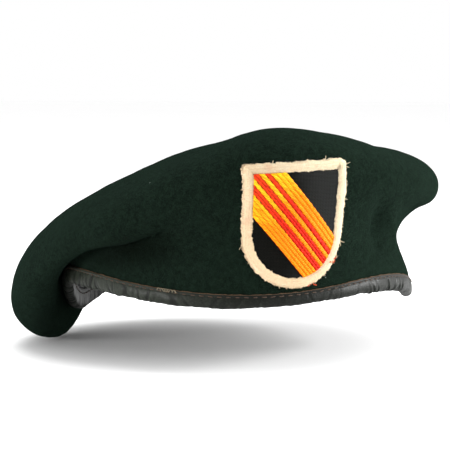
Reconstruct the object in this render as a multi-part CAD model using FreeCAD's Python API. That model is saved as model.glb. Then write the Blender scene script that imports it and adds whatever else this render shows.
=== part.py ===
import FreeCAD, Part
import math
import os

# A wool-felt beret with a leather edge binding, shaped as it is worn: the crown is
# pulled down over the wearer's right ear and stands up behind a badge at the left eye.
# Frame: origin at the centre of the head opening, level with the front lower edge of
# the binding; the front faces -Y, +X is the wearer's left and +Z is up. Angles round
# the head run in degrees from the front (0) through the wearer's left (90), the back
# (180) and the wearer's right (270). All lengths are millimetres.

Vector = FreeCAD.Vector

# ---------------------------------------------------------------- driving dimensions
COLUMNS = 36                # pole columns round the head
OPENING_SIDE = 82.5         # half width of the head opening's ring of poles
OPENING_FRONT = 101.5       # half length of the head opening's ring of poles

FELT_THICKNESS = 2.4
FELT_OUTSIDE = 4.05         # felt's outer face from the opening, inside the binding
# Heights above the binding's lower edge of the felt's cut edge and of its first rows,
# which stand straight up between the binding's two legs.
FELT_LIFTS = (5.2, 7.8, 12.5)
APEX_HEIGHT = 73.4
APEX_RADIUS = 4.0
TOP_RADIUS = 30.0           # last ring of poles before the middle of the top
TOP_SHARE = 0.25            # how far that ring keeps the slope of the shoulder

LEATHER = 1.1
BINDING_DEPTH = 5.3         # outer face of the binding from the opening
BINDING_INNER_LEG = 11.0

TAPE_THICKNESS = 1.0
TAPE_HEIGHT = 3.2
TAPE_FROM_OPENING = 2.2
TAPE_LIFT = 1.6
TAPE_END_GAP = 3.0          # half gap between the tape's ends at the back
SLOT_HALF_WIDTH = 5.0
KNOT_INSET = 6.6            # knot's centre in from the opening's pole ring
TAIL_LENGTH = 6.5
TAIL_SPREAD = 40.0

STITCH_COUNT = 148
STITCH_LENGTH = 2.6
STITCH_WIDTH = 0.7
STITCH_HEIGHT = 0.45
STITCH_DROP = 1.3           # stitch line below the outer leg's cut edge
STITCH_CLEARANCE = 0.05

LINING = 0.4
LINING_FROM_OPENING = 1.55  # lining's outer face from the opening, in the binding
DOME_HEIGHT = 67.0          # height at which the head-shaped lining would close
DOME_DENT = 4.5             # lining pulled in where the felt caves in at the left
LINING_LIFTS = (7.6, 9.6, 11.5)     # first rows above the binding's lower edge
SIDE_HEIGHTS = (24.0, 34.0, 44.0, 48.0, 52.0)
TIP_HEIGHTS = (52.5, 55.5, 59.5, 63.0, 65.6)
TIP_TOP = 66.4

STIFFENER = 0.8
STIFFENER_HALF_WIDTH = 38.0
STIFFENER_HALF_HEIGHT = 17.0
STIFFENER_LIFT = 3.0        # stiffener's centre above the flash's centre

LABEL_CENTRE = Vector(0.0, 26.0, 60.0)
LABEL_HALF_WIDTH = 19.0
LABEL_HALF_HEIGHT = 12.0
LABEL_THICKNESS = 0.3

FLASH_CENTRE = Vector(33.5, -96.0, 39.0)
FLASH_TURN = 27.0           # flash faces this far round from the front, degrees
FLASH_HALF_WIDTH = 25.2
FLASH_TOP = 29.0
FLASH_TOP_RISE = 1.1        # of the top line, from its middle to the wearer's left
FLASH_ROUND_CENTRE = -4.4   # centre height of the shield's round foot
FLASH_CORNER = 2.5
BORDER_WIDTH = 5.2
BORDER_THICKNESS = 1.5
GROUND_THICKNESS = 0.8
BAR_THICKNESS = 0.9
BAR_SLOPE = -49.0           # bars run down to the wearer's left, degrees
# Edges of the seven embroidered bars, counted across them from the lower left.
BAR_EDGES = (-13.0, -6.1, -3.3, -1.3, 1.4, 3.6, 5.6, 11.6)
BAR_NAMES = (
    "bar_yellow_lower",
    "bar_red_lower",
    "bar_yellow_mid_lower",
    "bar_red_middle",
    "bar_yellow_mid_upper",
    "bar_red_upper",
    "bar_yellow_upper",
)
FLASH_STITCH_COUNT = 52
LAY_CLEARANCE = 0.1         # gap between pieces laid one on another

FOLD_PLANE = -93.0          # the drape swings about a line in this X plane
FOLD_HALF_GAP = 0.2
CUTTER_SIZE = 400.0         # side of the cubes that part the drape from the body

# Height of the binding's lower edge at angles round the head: the soft ring waves.
BAND_EDGE = {0: 0, 20: 0.9, 45: 3.9, 65: 1.8, 80: -2.5, 94: -7.0, 110: -6, 150: -7.5,
             180: -8, 215: -7, 240: -11, 258: -17, 272: -10, 290: 2.2, 315: 5.2,
             340: 2.2}

# Height of the binding's outer leg: the strip isn't folded quite evenly.
OUTER_LEG = {0: 7.2, 18: 6.7, 60: 8.6, 180: 8.6, 285: 9.4, 330: 8.2}

# Felt sections at angles round the head, each as (radius, height) poles in the order
# wall, crease, under, lip inside, lip outside, rim, shoulder, top.
SECTIONS = {
    0: ((105.6, 22), (106.3, 32), (107, 42), (107.6, 52),
        (107.8, 60.5), (104.5, 69), (91, 76), (66, 77)),
    20: ((102.4, 22), (103, 32), (104, 43), (105.3, 53),
         (106.4, 63), (104.5, 75), (91, 83), (66, 83)),
    40: ((96, 21), (96.3, 31), (98.6, 40), (102, 49),
         (104.5, 58), (102.5, 69.5), (91, 78.2), (66, 81)),
    65: ((86.5, 19), (83.8, 28), (86.5, 37), (94, 44),
         (101.5, 50), (103, 59.5), (91, 67.8), (64, 74.6)),
    90: ((82, 16), (77.5, 25), (80, 34), (88.5, 40.5),
         (98.5, 41.5), (103, 54), (92, 65.8), (64, 71.8)),
    120: ((89.5, 14), (88.5, 20), (92.5, 27), (99.5, 33),
          (106, 38), (109, 47), (96, 58), (64, 68)),
    150: ((100.5, 9), (103, 13), (107.5, 18), (113, 22),
          (118, 27), (118.5, 36.5), (102, 51), (68, 63)),
    180: ((106.5, 8), (109.5, 11.5), (114, 14), (119, 16.5),
          (124.5, 20), (124, 31), (105, 47), (68, 60)),
    205: ((103, 8), (105.5, 11), (109.5, 10), (114, 7.5),
          (121, 8), (126, 20), (107, 41), (68, 57)),
    225: ((95.3, 7), (98, 12), (101.5, 12), (106.5, 4),
          (114, -1.5), (126.5, 9), (108, 36), (68, 54)),
    240: ((91, 5), (93, 13), (95.5, 15), (98, -17),
          (104, -29.5), (124, -11), (109, 30), (68, 52)),
    255: ((88, 5), (90, 15), (91.5, 19), (90.5, -22),
          (96, -36), (121, -21), (109, 25), (68, 50.5)),
    270: ((87, 6), (89, 17), (90.5, 22), (90.5, -19),
          (96, -33), (121, -20), (109, 23), (68, 49.5)),
    285: ((88, 15.5), (89, 21), (90.5, 26), (92, -8),
         (98, -18), (119.5, -11), (108.5, 27), (68, 50)),
    300: ((90.5, 18), (91, 25), (92, 31.5), (94.5, 13),
         (99, 4), (116, 5), (107, 34.5), (68, 54.5)),
    320: ((96.1, 19.5), (95, 27.5), (95.5, 35), (99.5, 22.5),
         (103, 20), (110.5, 27.5), (102, 47), (68, 60.5)),
    340: ((102.3, 19), (101.5, 27), (101, 34), (103, 28.5),
          (105.5, 31), (108, 40), (103, 58.5), (68, 69.4)),
}


# ---------------------------------------------------------------- shapes round the head
def around(keys, angle):
    """A value given at a few angles, carried smoothly all the way round."""
    marks = sorted(keys)
    count = len(marks)
    low = max(i for i in range(count) if marks[i] <= angle + 1e-9)

    def mark(i):
        return marks[i % count] + 360.0 * (i // count)

    def value(i):
        return keys[marks[i % count]]

    def slope(i):
        before = mark(i) - mark(i - 1)
        after = mark(i + 1) - mark(i)
        rise = (value(i) - value(i - 1)) / before * after
        rise += (value(i + 1) - value(i)) / after * before
        return rise / (before + after)

    span = mark(low + 1) - mark(low)
    s = (angle - mark(low)) / span
    return ((2 * s**3 - 3 * s**2 + 1) * value(low)
            + (s**3 - 2 * s**2 + s) * span * slope(low)
            + (3 * s**2 - 2 * s**3) * value(low + 1)
            + (s**3 - s**2) * span * slope(low + 1))


def opening_radius(angle, offset):
    """Distance from the axis to the head opening's oval, let out by an offset."""
    turn = math.radians(angle)
    across = math.sin(turn) / (OPENING_SIDE + offset)
    along = math.cos(turn) / (OPENING_FRONT + offset)
    return 1.0 / math.hypot(across, along)


def at(angle, radius, height):
    """The point at an angle round the head."""
    turn = math.radians(angle)
    return Vector(radius * math.sin(turn), -radius * math.cos(turn), height)


def pole_angles():
    return [360.0 * column / COLUMNS for column in range(COLUMNS)]


def band_loop(offset, lift, from_leg=False):
    """Poles of a loop along the binding, lifted from its foot or its outer leg's top."""
    loop = []
    for angle in pole_angles():
        height = around(BAND_EDGE, angle) + lift
        if from_leg:
            height += around(OUTER_LEG, angle)
        loop.append(at(angle, opening_radius(angle, offset), height))
    return loop


def smooth_skin(net):
    """Cubic surface on a net of poles, closed round the head and open up it."""
    rows = len(net[0])
    surface = Part.BSplineSurface()
    surface.buildFromPolesMultsKnots(
        net,
        [1] * (COLUMNS + 1),
        [4] + [1] * (rows - 4) + [4],
        [float(k) for k in range(COLUMNS + 1)],
        [float(k) for k in range(rows - 2)],
        True, False, 3, 3)
    return surface


def strip(lower, upper):
    """Face between two loops of poles."""
    surface = Part.BSplineSurface()
    surface.buildFromPolesMultsKnots(
        [[lower[c], upper[c]] for c in range(COLUMNS)],
        [1] * (COLUMNS + 1),
        [2, 2],
        [float(k) for k in range(COLUMNS + 1)],
        [0.0, 1.0],
        True, False, 3, 1)
    return surface.toShape()


def cap(loop):
    """Flat face inside a level loop of poles."""
    curve = Part.BSplineCurve()
    knots = [float(k) for k in range(COLUMNS + 1)]
    curve.buildFromPolesMultsKnots(loop, [1] * (COLUMNS + 1), knots, True, 3)
    return Part.Face(Part.Wire(curve.toShape()))


def solid_of(faces):
    """Closed solid sewn from its faces."""
    shell = Part.makeShell(faces)
    shell.sewShape()
    solid = Part.makeSolid(Part.Shell(shell.Faces))
    if solid.Volume < 0:
        solid.reverse()
    return solid


def ring_solid(loops):
    """Solid ring whose section is the closed outline that the loops follow."""
    faces = []
    for i in range(len(loops)):
        faces.append(strip(loops[i - 1], loops[i]))
    return solid_of(faces)


def inner_net(net, thickness):
    """The net moved inwards by a sheet's thickness, square to the sheet."""
    rows = len(net[0])
    moved = []
    for c in range(COLUMNS):
        column = []
        for row in range(rows):
            low = max(row - 1, 0)
            high = min(row + 1, rows - 1)
            following = net[(c + 1) % COLUMNS][row]
            round_the_head = following - net[c - 1][row]
            up_the_sheet = net[c][high] - net[c][low]
            if row < 3:
                up_the_sheet = Vector(0, 0, 1)
                round_the_head.z = 0.0
            inwards = up_the_sheet.cross(round_the_head)
            if row == rows - 1:
                inwards = Vector(0, 0, -1)
            inwards.normalize()
            column.append(net[c][row] + inwards * thickness)
        moved.append(column)
    return moved


def sheet_faces(net, inside):
    """Both skins of a sheet and the strip along its lower edge."""
    faces = [smooth_skin(net).toShape(), smooth_skin(inside).toShape()]
    faces.append(strip([column[0] for column in net], [column[0] for column in inside]))
    return faces


def dome_solid(net, inside):
    """Sheet that closes over at the top."""
    faces = sheet_faces(net, inside)
    faces.append(cap([column[-1] for column in net]))
    faces.append(cap([column[-1] for column in inside]))
    return solid_of(faces)


def sleeve_solid(net, inside):
    """Sheet that is open at the top."""
    faces = sheet_faces(net, inside)
    faces.append(strip([column[-1] for column in net], [column[-1] for column in inside]))
    return solid_of(faces)


# ---------------------------------------------------------------- pieces laid on a skin
class Lay:
    """Flat drawing plane in front of a skin, whose drawings are laid down on the skin."""

    def __init__(self, skin, centre, right, up):
        self.skin = skin
        self.centre = centre
        self.right = right
        self.up = up
        self.out = right.cross(up)

    def flat(self, u, v, lift=0.0):
        return self.centre + self.right * u + self.up * v + self.out * lift

    def on(self, u, v, lift):
        """Point at (u, v) on the skin, lifted off it."""
        start = self.flat(u, v)
        point = start
        for _ in range(12):
            place = self.skin.parameter(point)
            foot = self.skin.value(*place)
            drop = (foot - point).dot(self.out)
            point = point + self.out * drop
        return point + self.out * lift

    def patch(self, half_width, half_height, near, far, count=7):
        """Solid sheet that follows the skin between two lifts off it."""
        layers = []
        for lift in (near, far):
            grid = []
            for i in range(count):
                u = half_width * (2.0 * i / (count - 1) - 1.0)
                row = []
                for j in range(count):
                    v = half_height * (2.0 * j / (count - 1) - 1.0)
                    row.append(self.on(u, v, lift))
                grid.append(row)
            surface = Part.BSplineSurface()
            surface.interpolate(grid)
            layers.append(surface)
        faces = [surface.toShape() for surface in layers]
        u0, u1, v0, v1 = layers[0].bounds()
        for value in (u0, u1):
            edges = [surface.uIso(value).toShape() for surface in layers]
            faces.append(Part.makeRuledSurface(*edges))
        for value in (v0, v1):
            edges = [surface.vIso(value).toShape() for surface in layers]
            faces.append(Part.makeRuledSurface(*edges))
        return solid_of(faces)

    def prism(self, outline, depth=30.0):
        """Straight-sided block on a flat outline, long enough to pass the skin."""
        face = Part.Face(outline)
        block = face.extrude(self.out * (2.0 * depth))
        block.translate(self.out * -depth)
        return block

    def block(self, u, v, direction, length, width, near, far):
        """Small bar on the skin at (u, v), along a direction in degrees."""
        middle = self.on(u, v, 0.0)
        rightwards = self.on(u + 1.0, v, 0.0) - self.on(u - 1.0, v, 0.0)
        upwards = self.on(u, v + 1.0, 0.0) - self.on(u, v - 1.0, 0.0)
        out = rightwards.cross(upwards)
        out.normalize()
        turn = math.radians(direction)
        ahead = self.right * math.cos(turn) + self.up * math.sin(turn)
        ahead = ahead - out * ahead.dot(out)
        ahead.normalize()
        return bar(middle + out * ((near + far) / 2.0), ahead, out, length, width, far - near)


def bar(middle, ahead, out, length, width, height):
    """Small bar centred on a point: long ahead, thin outwards."""
    side = out.cross(ahead)
    side.normalize()
    frame = FreeCAD.Matrix(
        ahead.x, side.x, out.x, middle.x,
        ahead.y, side.y, out.y, middle.y,
        ahead.z, side.z, out.z, middle.z,
        0, 0, 0, 1)
    box = Part.makeBox(length, width, height, Vector(-length / 2, -width / 2, -height / 2))
    box.Placement = FreeCAD.Placement(frame)
    return box


def straight_outline(points):
    """Closed wire of straight runs."""
    return Part.makePolygon(list(points) + [points[0]])


def shield_outline(lay, inset):
    """Shield with a straight, slightly slanting top, rounded corners and a half-round foot."""
    half = FLASH_HALF_WIDTH - inset
    rise = FLASH_TOP_RISE * half / FLASH_HALF_WIDTH
    left_top = FLASH_TOP - inset - rise
    right_top = FLASH_TOP - inset + rise
    corner = max(FLASH_CORNER - inset, 0.6)
    chamfer = corner * (1.0 - math.sqrt(0.5))
    left_foot = lay.flat(-half, FLASH_ROUND_CENTRE)
    right_foot = lay.flat(half, FLASH_ROUND_CENTRE)
    edges = [
        Part.Arc(left_foot, lay.flat(0, FLASH_ROUND_CENTRE - half), right_foot),
        Part.LineSegment(right_foot, lay.flat(half, right_top - corner)),
        Part.Arc(lay.flat(half, right_top - corner),
                 lay.flat(half - chamfer, right_top - chamfer),
                 lay.flat(half - corner, right_top)),
        Part.LineSegment(lay.flat(half - corner, right_top),
                         lay.flat(corner - half, left_top)),
        Part.Arc(lay.flat(corner - half, left_top),
                 lay.flat(chamfer - half, left_top - chamfer),
                 lay.flat(-half, left_top - corner)),
        Part.LineSegment(lay.flat(-half, left_top - corner), left_foot),
    ]
    return Part.Wire([edge.toShape() for edge in edges])


def export(name, shape):
    """One STEP file per node, after a look at its soundness."""
    sound = shape.isValid() and all(solid.Volume > 0 for solid in shape.Solids)
    print(name, "solids", len(shape.Solids), "volume", round(shape.Volume, 2), "sound", sound)
    shape.exportStep("parts/" + name + ".step")


# ---------------------------------------------------------------- crown
def crown_net():
    """Poles of the felt's outer skin, from its cut edge to the middle of the top."""
    net = []
    for angle in pole_angles():
        edge = around(BAND_EDGE, angle)
        wall = opening_radius(angle, FELT_OUTSIDE)
        rows = [(wall, edge + lift) for lift in FELT_LIFTS]
        for i in range(len(SECTIONS[0])):
            radius = around({k: SECTIONS[k][i][0] for k in SECTIONS}, angle)
            height = around({k: SECTIONS[k][i][1] for k in SECTIONS}, angle)
            rows.append((radius, height))
        shoulder_top = rows[-1][1]
        rows.append((TOP_RADIUS, APEX_HEIGHT + TOP_SHARE * (shoulder_top - APEX_HEIGHT)))
        rows.append((APEX_RADIUS, APEX_HEIGHT))
        net.append([at(angle, radius, height) for radius, height in rows])
    return net


def make_crown():
    """One felt sheet, cut at the fold plane so that the drape can swing."""
    net = crown_net()
    inside = inner_net(net, FELT_THICKNESS)
    crown = dome_solid(net, inside)
    size = CUTTER_SIZE
    beyond = FOLD_PLANE - FOLD_HALF_GAP - size
    drape_side = Part.makeBox(size, size, size, Vector(beyond, -size / 2, -size / 2))
    kept = FOLD_PLANE + FOLD_HALF_GAP
    head_side = Part.makeBox(size, size, size, Vector(kept, -size / 2, -size / 2))
    export("crown_body", crown.common(head_side))
    export("crown_drape", crown.common(drape_side))
    return smooth_skin(net), smooth_skin(inside)


# ---------------------------------------------------------------- edge binding
def make_binding():
    """Leather strip folded over the felt's edge, with a tunnel along its foot."""
    outer = BINDING_DEPTH
    middle = BINDING_DEPTH / 2.0
    section = (
        (outer, 2.4), (outer - 0.8, 0.8), (middle, 0.0),
        (0.8, 0.8), (0.0, 2.4), (0.0, BINDING_INNER_LEG),
        (LEATHER, BINDING_INNER_LEG), (LEATHER, 2.8), (LEATHER + 0.5, 1.6),
        (middle, LEATHER), (outer - LEATHER - 0.5, 1.6), (outer - LEATHER, 2.8),
    )
    loops = [band_loop(offset, lift) for offset, lift in section]
    loops.append(band_loop(outer - LEATHER, 0.0, from_leg=True))
    loops.append(band_loop(outer, 0.0, from_leg=True))
    ring = ring_solid(loops)
    back_edge = around(BAND_EDGE, 180)
    slot = Part.makeBox(
        2 * SLOT_HALF_WIDTH, 5.0, TAPE_HEIGHT + 0.6,
        Vector(-SLOT_HALF_WIDTH, OPENING_FRONT - 3.3, back_edge + TAPE_LIFT - 0.3))
    export("binding", ring.cut(slot))


def stitch_row(offset, height_out):
    """Stitches end to end along the binding, lying on the leather."""
    curve = Part.BSplineCurve()
    knots = [float(k) for k in range(COLUMNS + 1)]
    loop = band_loop(offset, -STITCH_DROP, from_leg=True)
    curve.buildFromPolesMultsKnots(loop, [1] * (COLUMNS + 1), knots, True, 3)
    points = curve.toShape().discretize(STITCH_COUNT + 1)[:STITCH_COUNT]
    stitches = []
    for i, point in enumerate(points):
        ahead = points[(i + 1) % STITCH_COUNT] - points[i - 1]
        ahead.normalize()
        out = Vector(-ahead.y, ahead.x, 0.0) * -1.0
        out = out - ahead * out.dot(ahead)
        out.normalize()
        middle = point + out * height_out
        stitches.append(bar(middle, ahead, out, STITCH_LENGTH, STITCH_WIDTH, STITCH_HEIGHT))
    return stitches


def make_binding_stitching():
    """Thread of the seam that closes the binding, seen outside and inside."""
    clear = STITCH_HEIGHT / 2.0 + STITCH_CLEARANCE
    outside = stitch_row(BINDING_DEPTH, clear)
    inside = stitch_row(0.0, -clear)
    export("binding_stitching", Part.makeCompound(outside + inside))


def make_drawstring():
    """Tape that runs in the binding's tunnel and comes out inside at the back."""
    near = TAPE_FROM_OPENING
    far = near + TAPE_THICKNESS
    low = TAPE_LIFT
    high = low + TAPE_HEIGHT
    corners = ((far, high), (far, low), (near, low), (near, high))
    ring = ring_solid([band_loop(offset, lift) for offset, lift in corners])
    back_edge = around(BAND_EDGE, 180)
    gap = Part.makeBox(2 * TAPE_END_GAP, 40, 40, Vector(-TAPE_END_GAP, 85, back_edge - 20))
    tape = ring.cut(gap)
    for side in (-1, 1):
        start = TAPE_END_GAP if side > 0 else -TAPE_END_GAP - TAPE_THICKNESS
        leg = Part.makeBox(
            TAPE_THICKNESS, 6.2, TAPE_HEIGHT - 0.4,
            Vector(start, OPENING_FRONT - 4.2, back_edge + low + 0.2))
        tape = tape.fuse(leg)
    export("drawstring", tape.removeSplitter())
    return back_edge + low + TAPE_HEIGHT / 2.0


def make_drawstring_knot(height):
    """Small flat knot with two trimmed ends, tucked inside at the back."""
    middle = Vector(0, OPENING_FRONT - KNOT_INSET, height + 1.0)
    stretch = FreeCAD.Matrix()
    stretch.scale(1.75, 1.0, 0.9)
    lump = Part.makeSphere(3.0).transformGeometry(stretch)
    lump.translate(middle)
    for side in (-1, 1):
        tail = Part.makeBox(
            TAPE_HEIGHT, TAPE_THICKNESS, TAIL_LENGTH,
            Vector(-TAPE_HEIGHT / 2, -TAPE_THICKNESS / 2, -TAIL_LENGTH))
        tail.rotate(Vector(0, 0, 0), Vector(0, 1, 0), side * -TAIL_SPREAD)
        tail.translate(middle + Vector(side * 2.0, 0, 0))
        lump = lump.fuse(tail)
    export("drawstring_knot", lump)


# ---------------------------------------------------------------- lining
def dome_radius(angle, height):
    """Radius of the head-shaped lining, dented where the felt caves in."""
    share = math.sqrt(1.0 - (height / DOME_HEIGHT)**2)
    facing = max(0.0, math.cos(math.radians(angle - 90.0)))
    return opening_radius(angle, 0.0) * share - DOME_DENT * facing**4


def lining_side_net():
    net = []
    for angle in pole_angles():
        edge = around(BAND_EDGE, angle)
        seam = opening_radius(angle, LINING_FROM_OPENING)
        rows = [(seam, edge + lift) for lift in LINING_LIFTS]
        for height in SIDE_HEIGHTS:
            rows.append((dome_radius(angle, height), height))
        net.append([at(angle, radius, height) for radius, height in rows])
    return net


def lining_tip_net():
    net = []
    for angle in pole_angles():
        rows = []
        for height in TIP_HEIGHTS:
            rows.append((dome_radius(angle, height), height))
        rows.append((APEX_RADIUS, TIP_TOP))
        net.append([at(angle, radius, height) for radius, height in rows])
    return net


def make_lining():
    """Black cloth lining: a side band sewn into the binding, and a round tip."""
    side = lining_side_net()
    export("lining_side", sleeve_solid(side, inner_net(side, LINING)))
    tip = lining_tip_net()
    inside = inner_net(tip, LINING)
    export("lining_tip", dome_solid(tip, inside))
    return inside


def make_label(tip_inside):
    """Blank size label sewn under the middle of the lining, stitched all round."""
    skin = smooth_skin(tip_inside)
    lay = Lay(skin, LABEL_CENTRE, Vector(1, 0, 0), Vector(0, -1, 0))
    export("size_label", lay.patch(
        LABEL_HALF_WIDTH, LABEL_HALF_HEIGHT, LAY_CLEARANCE, LAY_CLEARANCE + LABEL_THICKNESS))
    top = 3 * LAY_CLEARANCE + LABEL_THICKNESS
    stitches = []
    for along, across, direction in (
            (LABEL_HALF_WIDTH, LABEL_HALF_HEIGHT, 0.0),
            (LABEL_HALF_HEIGHT, LABEL_HALF_WIDTH, 90.0)):
        count = int(2 * (along - 1.5) / 3.0)
        for side in (-1, 1):
            for i in range(count):
                run = (i - (count - 1) / 2.0) * 3.0
                edge = side * (across - 1.2)
                u, v = (run, edge) if direction == 0.0 else (edge, run)
                stitches.append(lay.block(u, v, direction, 2.0, 0.4, top, top + 0.3))
    export("label_stitching", Part.makeCompound(stitches))


# ---------------------------------------------------------------- flash and stiffener
def flash_axes():
    turn = math.radians(FLASH_TURN)
    right = Vector(math.cos(turn), math.sin(turn), 0)
    return right, Vector(0, 0, 1)


def make_stiffener(felt_inside):
    """Thin board between felt and lining, that holds the front up behind the flash."""
    right, up = flash_axes()
    lay = Lay(felt_inside, FLASH_CENTRE + up * STIFFENER_LIFT, right, up)
    near = -LAY_CLEARANCE * 3 - STIFFENER
    export("stiffener", lay.patch(
        STIFFENER_HALF_WIDTH, STIFFENER_HALF_HEIGHT, near, near + STIFFENER))


def make_flash(felt_outside):
    """Embroidered cloth shield: ground, wrapped border and seven diagonal bars."""
    right, up = flash_axes()
    lay = Lay(felt_outside, FLASH_CENTRE, right, up)
    reach = FLASH_TOP + 4.0
    outer = lay.prism(shield_outline(lay, 0.0))
    inner = lay.prism(shield_outline(lay, BORDER_WIDTH))
    field = lay.prism(shield_outline(lay, BORDER_WIDTH + LAY_CLEARANCE))

    near = LAY_CLEARANCE
    border_sheet = lay.patch(reach, reach, near, near + BORDER_THICKNESS)
    export("flash_border", border_sheet.common(outer).cut(inner))
    ground_sheet = lay.patch(reach, reach, near, near + GROUND_THICKNESS)
    export("flash_ground", ground_sheet.common(field))

    bar_near = near + GROUND_THICKNESS + LAY_CLEARANCE
    bar_sheet = lay.patch(reach, reach, bar_near, bar_near + BAR_THICKNESS).common(field)
    slope = math.radians(BAR_SLOPE)
    along = (math.cos(slope), math.sin(slope))
    across = (-math.sin(slope), math.cos(slope))
    for i, name in enumerate(BAR_NAMES):
        corners = []
        for edge, run in ((BAR_EDGES[i] + 0.05, -60), (BAR_EDGES[i] + 0.05, 60),
                          (BAR_EDGES[i + 1] - 0.05, 60), (BAR_EDGES[i + 1] - 0.05, -60)):
            u = across[0] * edge + along[0] * run
            v = across[1] * edge + along[1] * run
            corners.append(lay.flat(u, v))
        export(name, bar_sheet.common(lay.prism(straight_outline(corners))))

    stitches = []
    outline = shield_outline(lay, -0.9)
    for point in outline.discretize(FLASH_STITCH_COUNT + 1)[:FLASH_STITCH_COUNT]:
        from_centre = point - lay.centre
        u = from_centre.dot(right)
        v = from_centre.dot(up)
        direction = math.degrees(math.atan2(v - FLASH_ROUND_CENTRE * 0.5, u))
        stitches.append(lay.block(u, v, direction, 1.5, 0.4, 2 * near, 2 * near + 0.35))
    export("flash_stitching", Part.makeCompound(stitches))


os.makedirs("parts", exist_ok=True)
felt_outside, felt_inside = make_crown()
make_binding()
make_binding_stitching()
make_drawstring_knot(make_drawstring())
lining_inside = make_lining()
make_label(lining_inside)
make_stiffener(felt_inside)
make_flash(felt_outside)
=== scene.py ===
import math

import bpy
import numpy as np
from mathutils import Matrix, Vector
from mathutils.bvhtree import BVHTree


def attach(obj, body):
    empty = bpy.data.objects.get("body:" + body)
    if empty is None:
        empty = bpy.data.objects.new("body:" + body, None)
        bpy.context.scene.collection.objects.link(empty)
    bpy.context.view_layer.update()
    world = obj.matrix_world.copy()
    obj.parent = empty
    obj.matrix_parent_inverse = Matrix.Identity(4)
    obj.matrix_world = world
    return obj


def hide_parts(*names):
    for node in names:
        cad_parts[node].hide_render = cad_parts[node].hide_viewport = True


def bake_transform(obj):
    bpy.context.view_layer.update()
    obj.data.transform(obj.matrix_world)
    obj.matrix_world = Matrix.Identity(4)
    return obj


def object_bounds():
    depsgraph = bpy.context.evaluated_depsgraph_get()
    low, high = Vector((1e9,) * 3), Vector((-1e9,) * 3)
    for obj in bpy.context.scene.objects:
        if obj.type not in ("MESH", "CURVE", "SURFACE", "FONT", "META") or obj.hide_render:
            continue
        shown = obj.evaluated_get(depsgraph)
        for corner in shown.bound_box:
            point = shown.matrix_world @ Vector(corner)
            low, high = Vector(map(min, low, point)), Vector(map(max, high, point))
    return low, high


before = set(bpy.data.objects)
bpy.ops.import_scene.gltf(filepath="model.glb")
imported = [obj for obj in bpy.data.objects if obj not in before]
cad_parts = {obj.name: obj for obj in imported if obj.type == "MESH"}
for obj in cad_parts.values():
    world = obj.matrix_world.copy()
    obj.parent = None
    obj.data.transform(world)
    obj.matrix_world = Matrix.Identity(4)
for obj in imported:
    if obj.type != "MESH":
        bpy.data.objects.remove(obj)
cad_low, cad_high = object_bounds()

# ---------------------------------------------------------------- table, light and camera
# A plain pale table under a white sky, as in a light tent, with broad soft lamps above
# and at both sides. Sizes in this script are millimetres until a mesh is made.
MM = 0.001
CAMERA_TARGET = Vector((-0.00679, 0.00202, 0.02975))
CAMERA_TURN = math.radians(5.0)
CAMERA_RISE = math.radians(5.0)
CAMERA_DISTANCE = 1.1


class Level:
    """One output of a node, on which sums in Python add Math nodes."""

    def __init__(self, finish, socket):
        self.finish = finish
        self.socket = socket

    def math(self, operation, *values):
        return self.finish.node(
            "ShaderNodeMath", {"operation": operation}, dict(enumerate(values)))

    def __add__(self, other):
        return self.math("ADD", self, other)

    def __sub__(self, other):
        return self.math("SUBTRACT", self, other)

    def __rsub__(self, other):
        return self.math("SUBTRACT", other, self)

    def __mul__(self, other):
        return self.math("MULTIPLY", self, other)

    def __abs__(self):
        return self.math("ABSOLUTE", self)

    __radd__ = __add__
    __rmul__ = __mul__

    def wave(self):
        """0 to 1 and back, once for each turn of 2 pi."""
        return self.math("SINE", self) * 0.5 + 0.5


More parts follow.
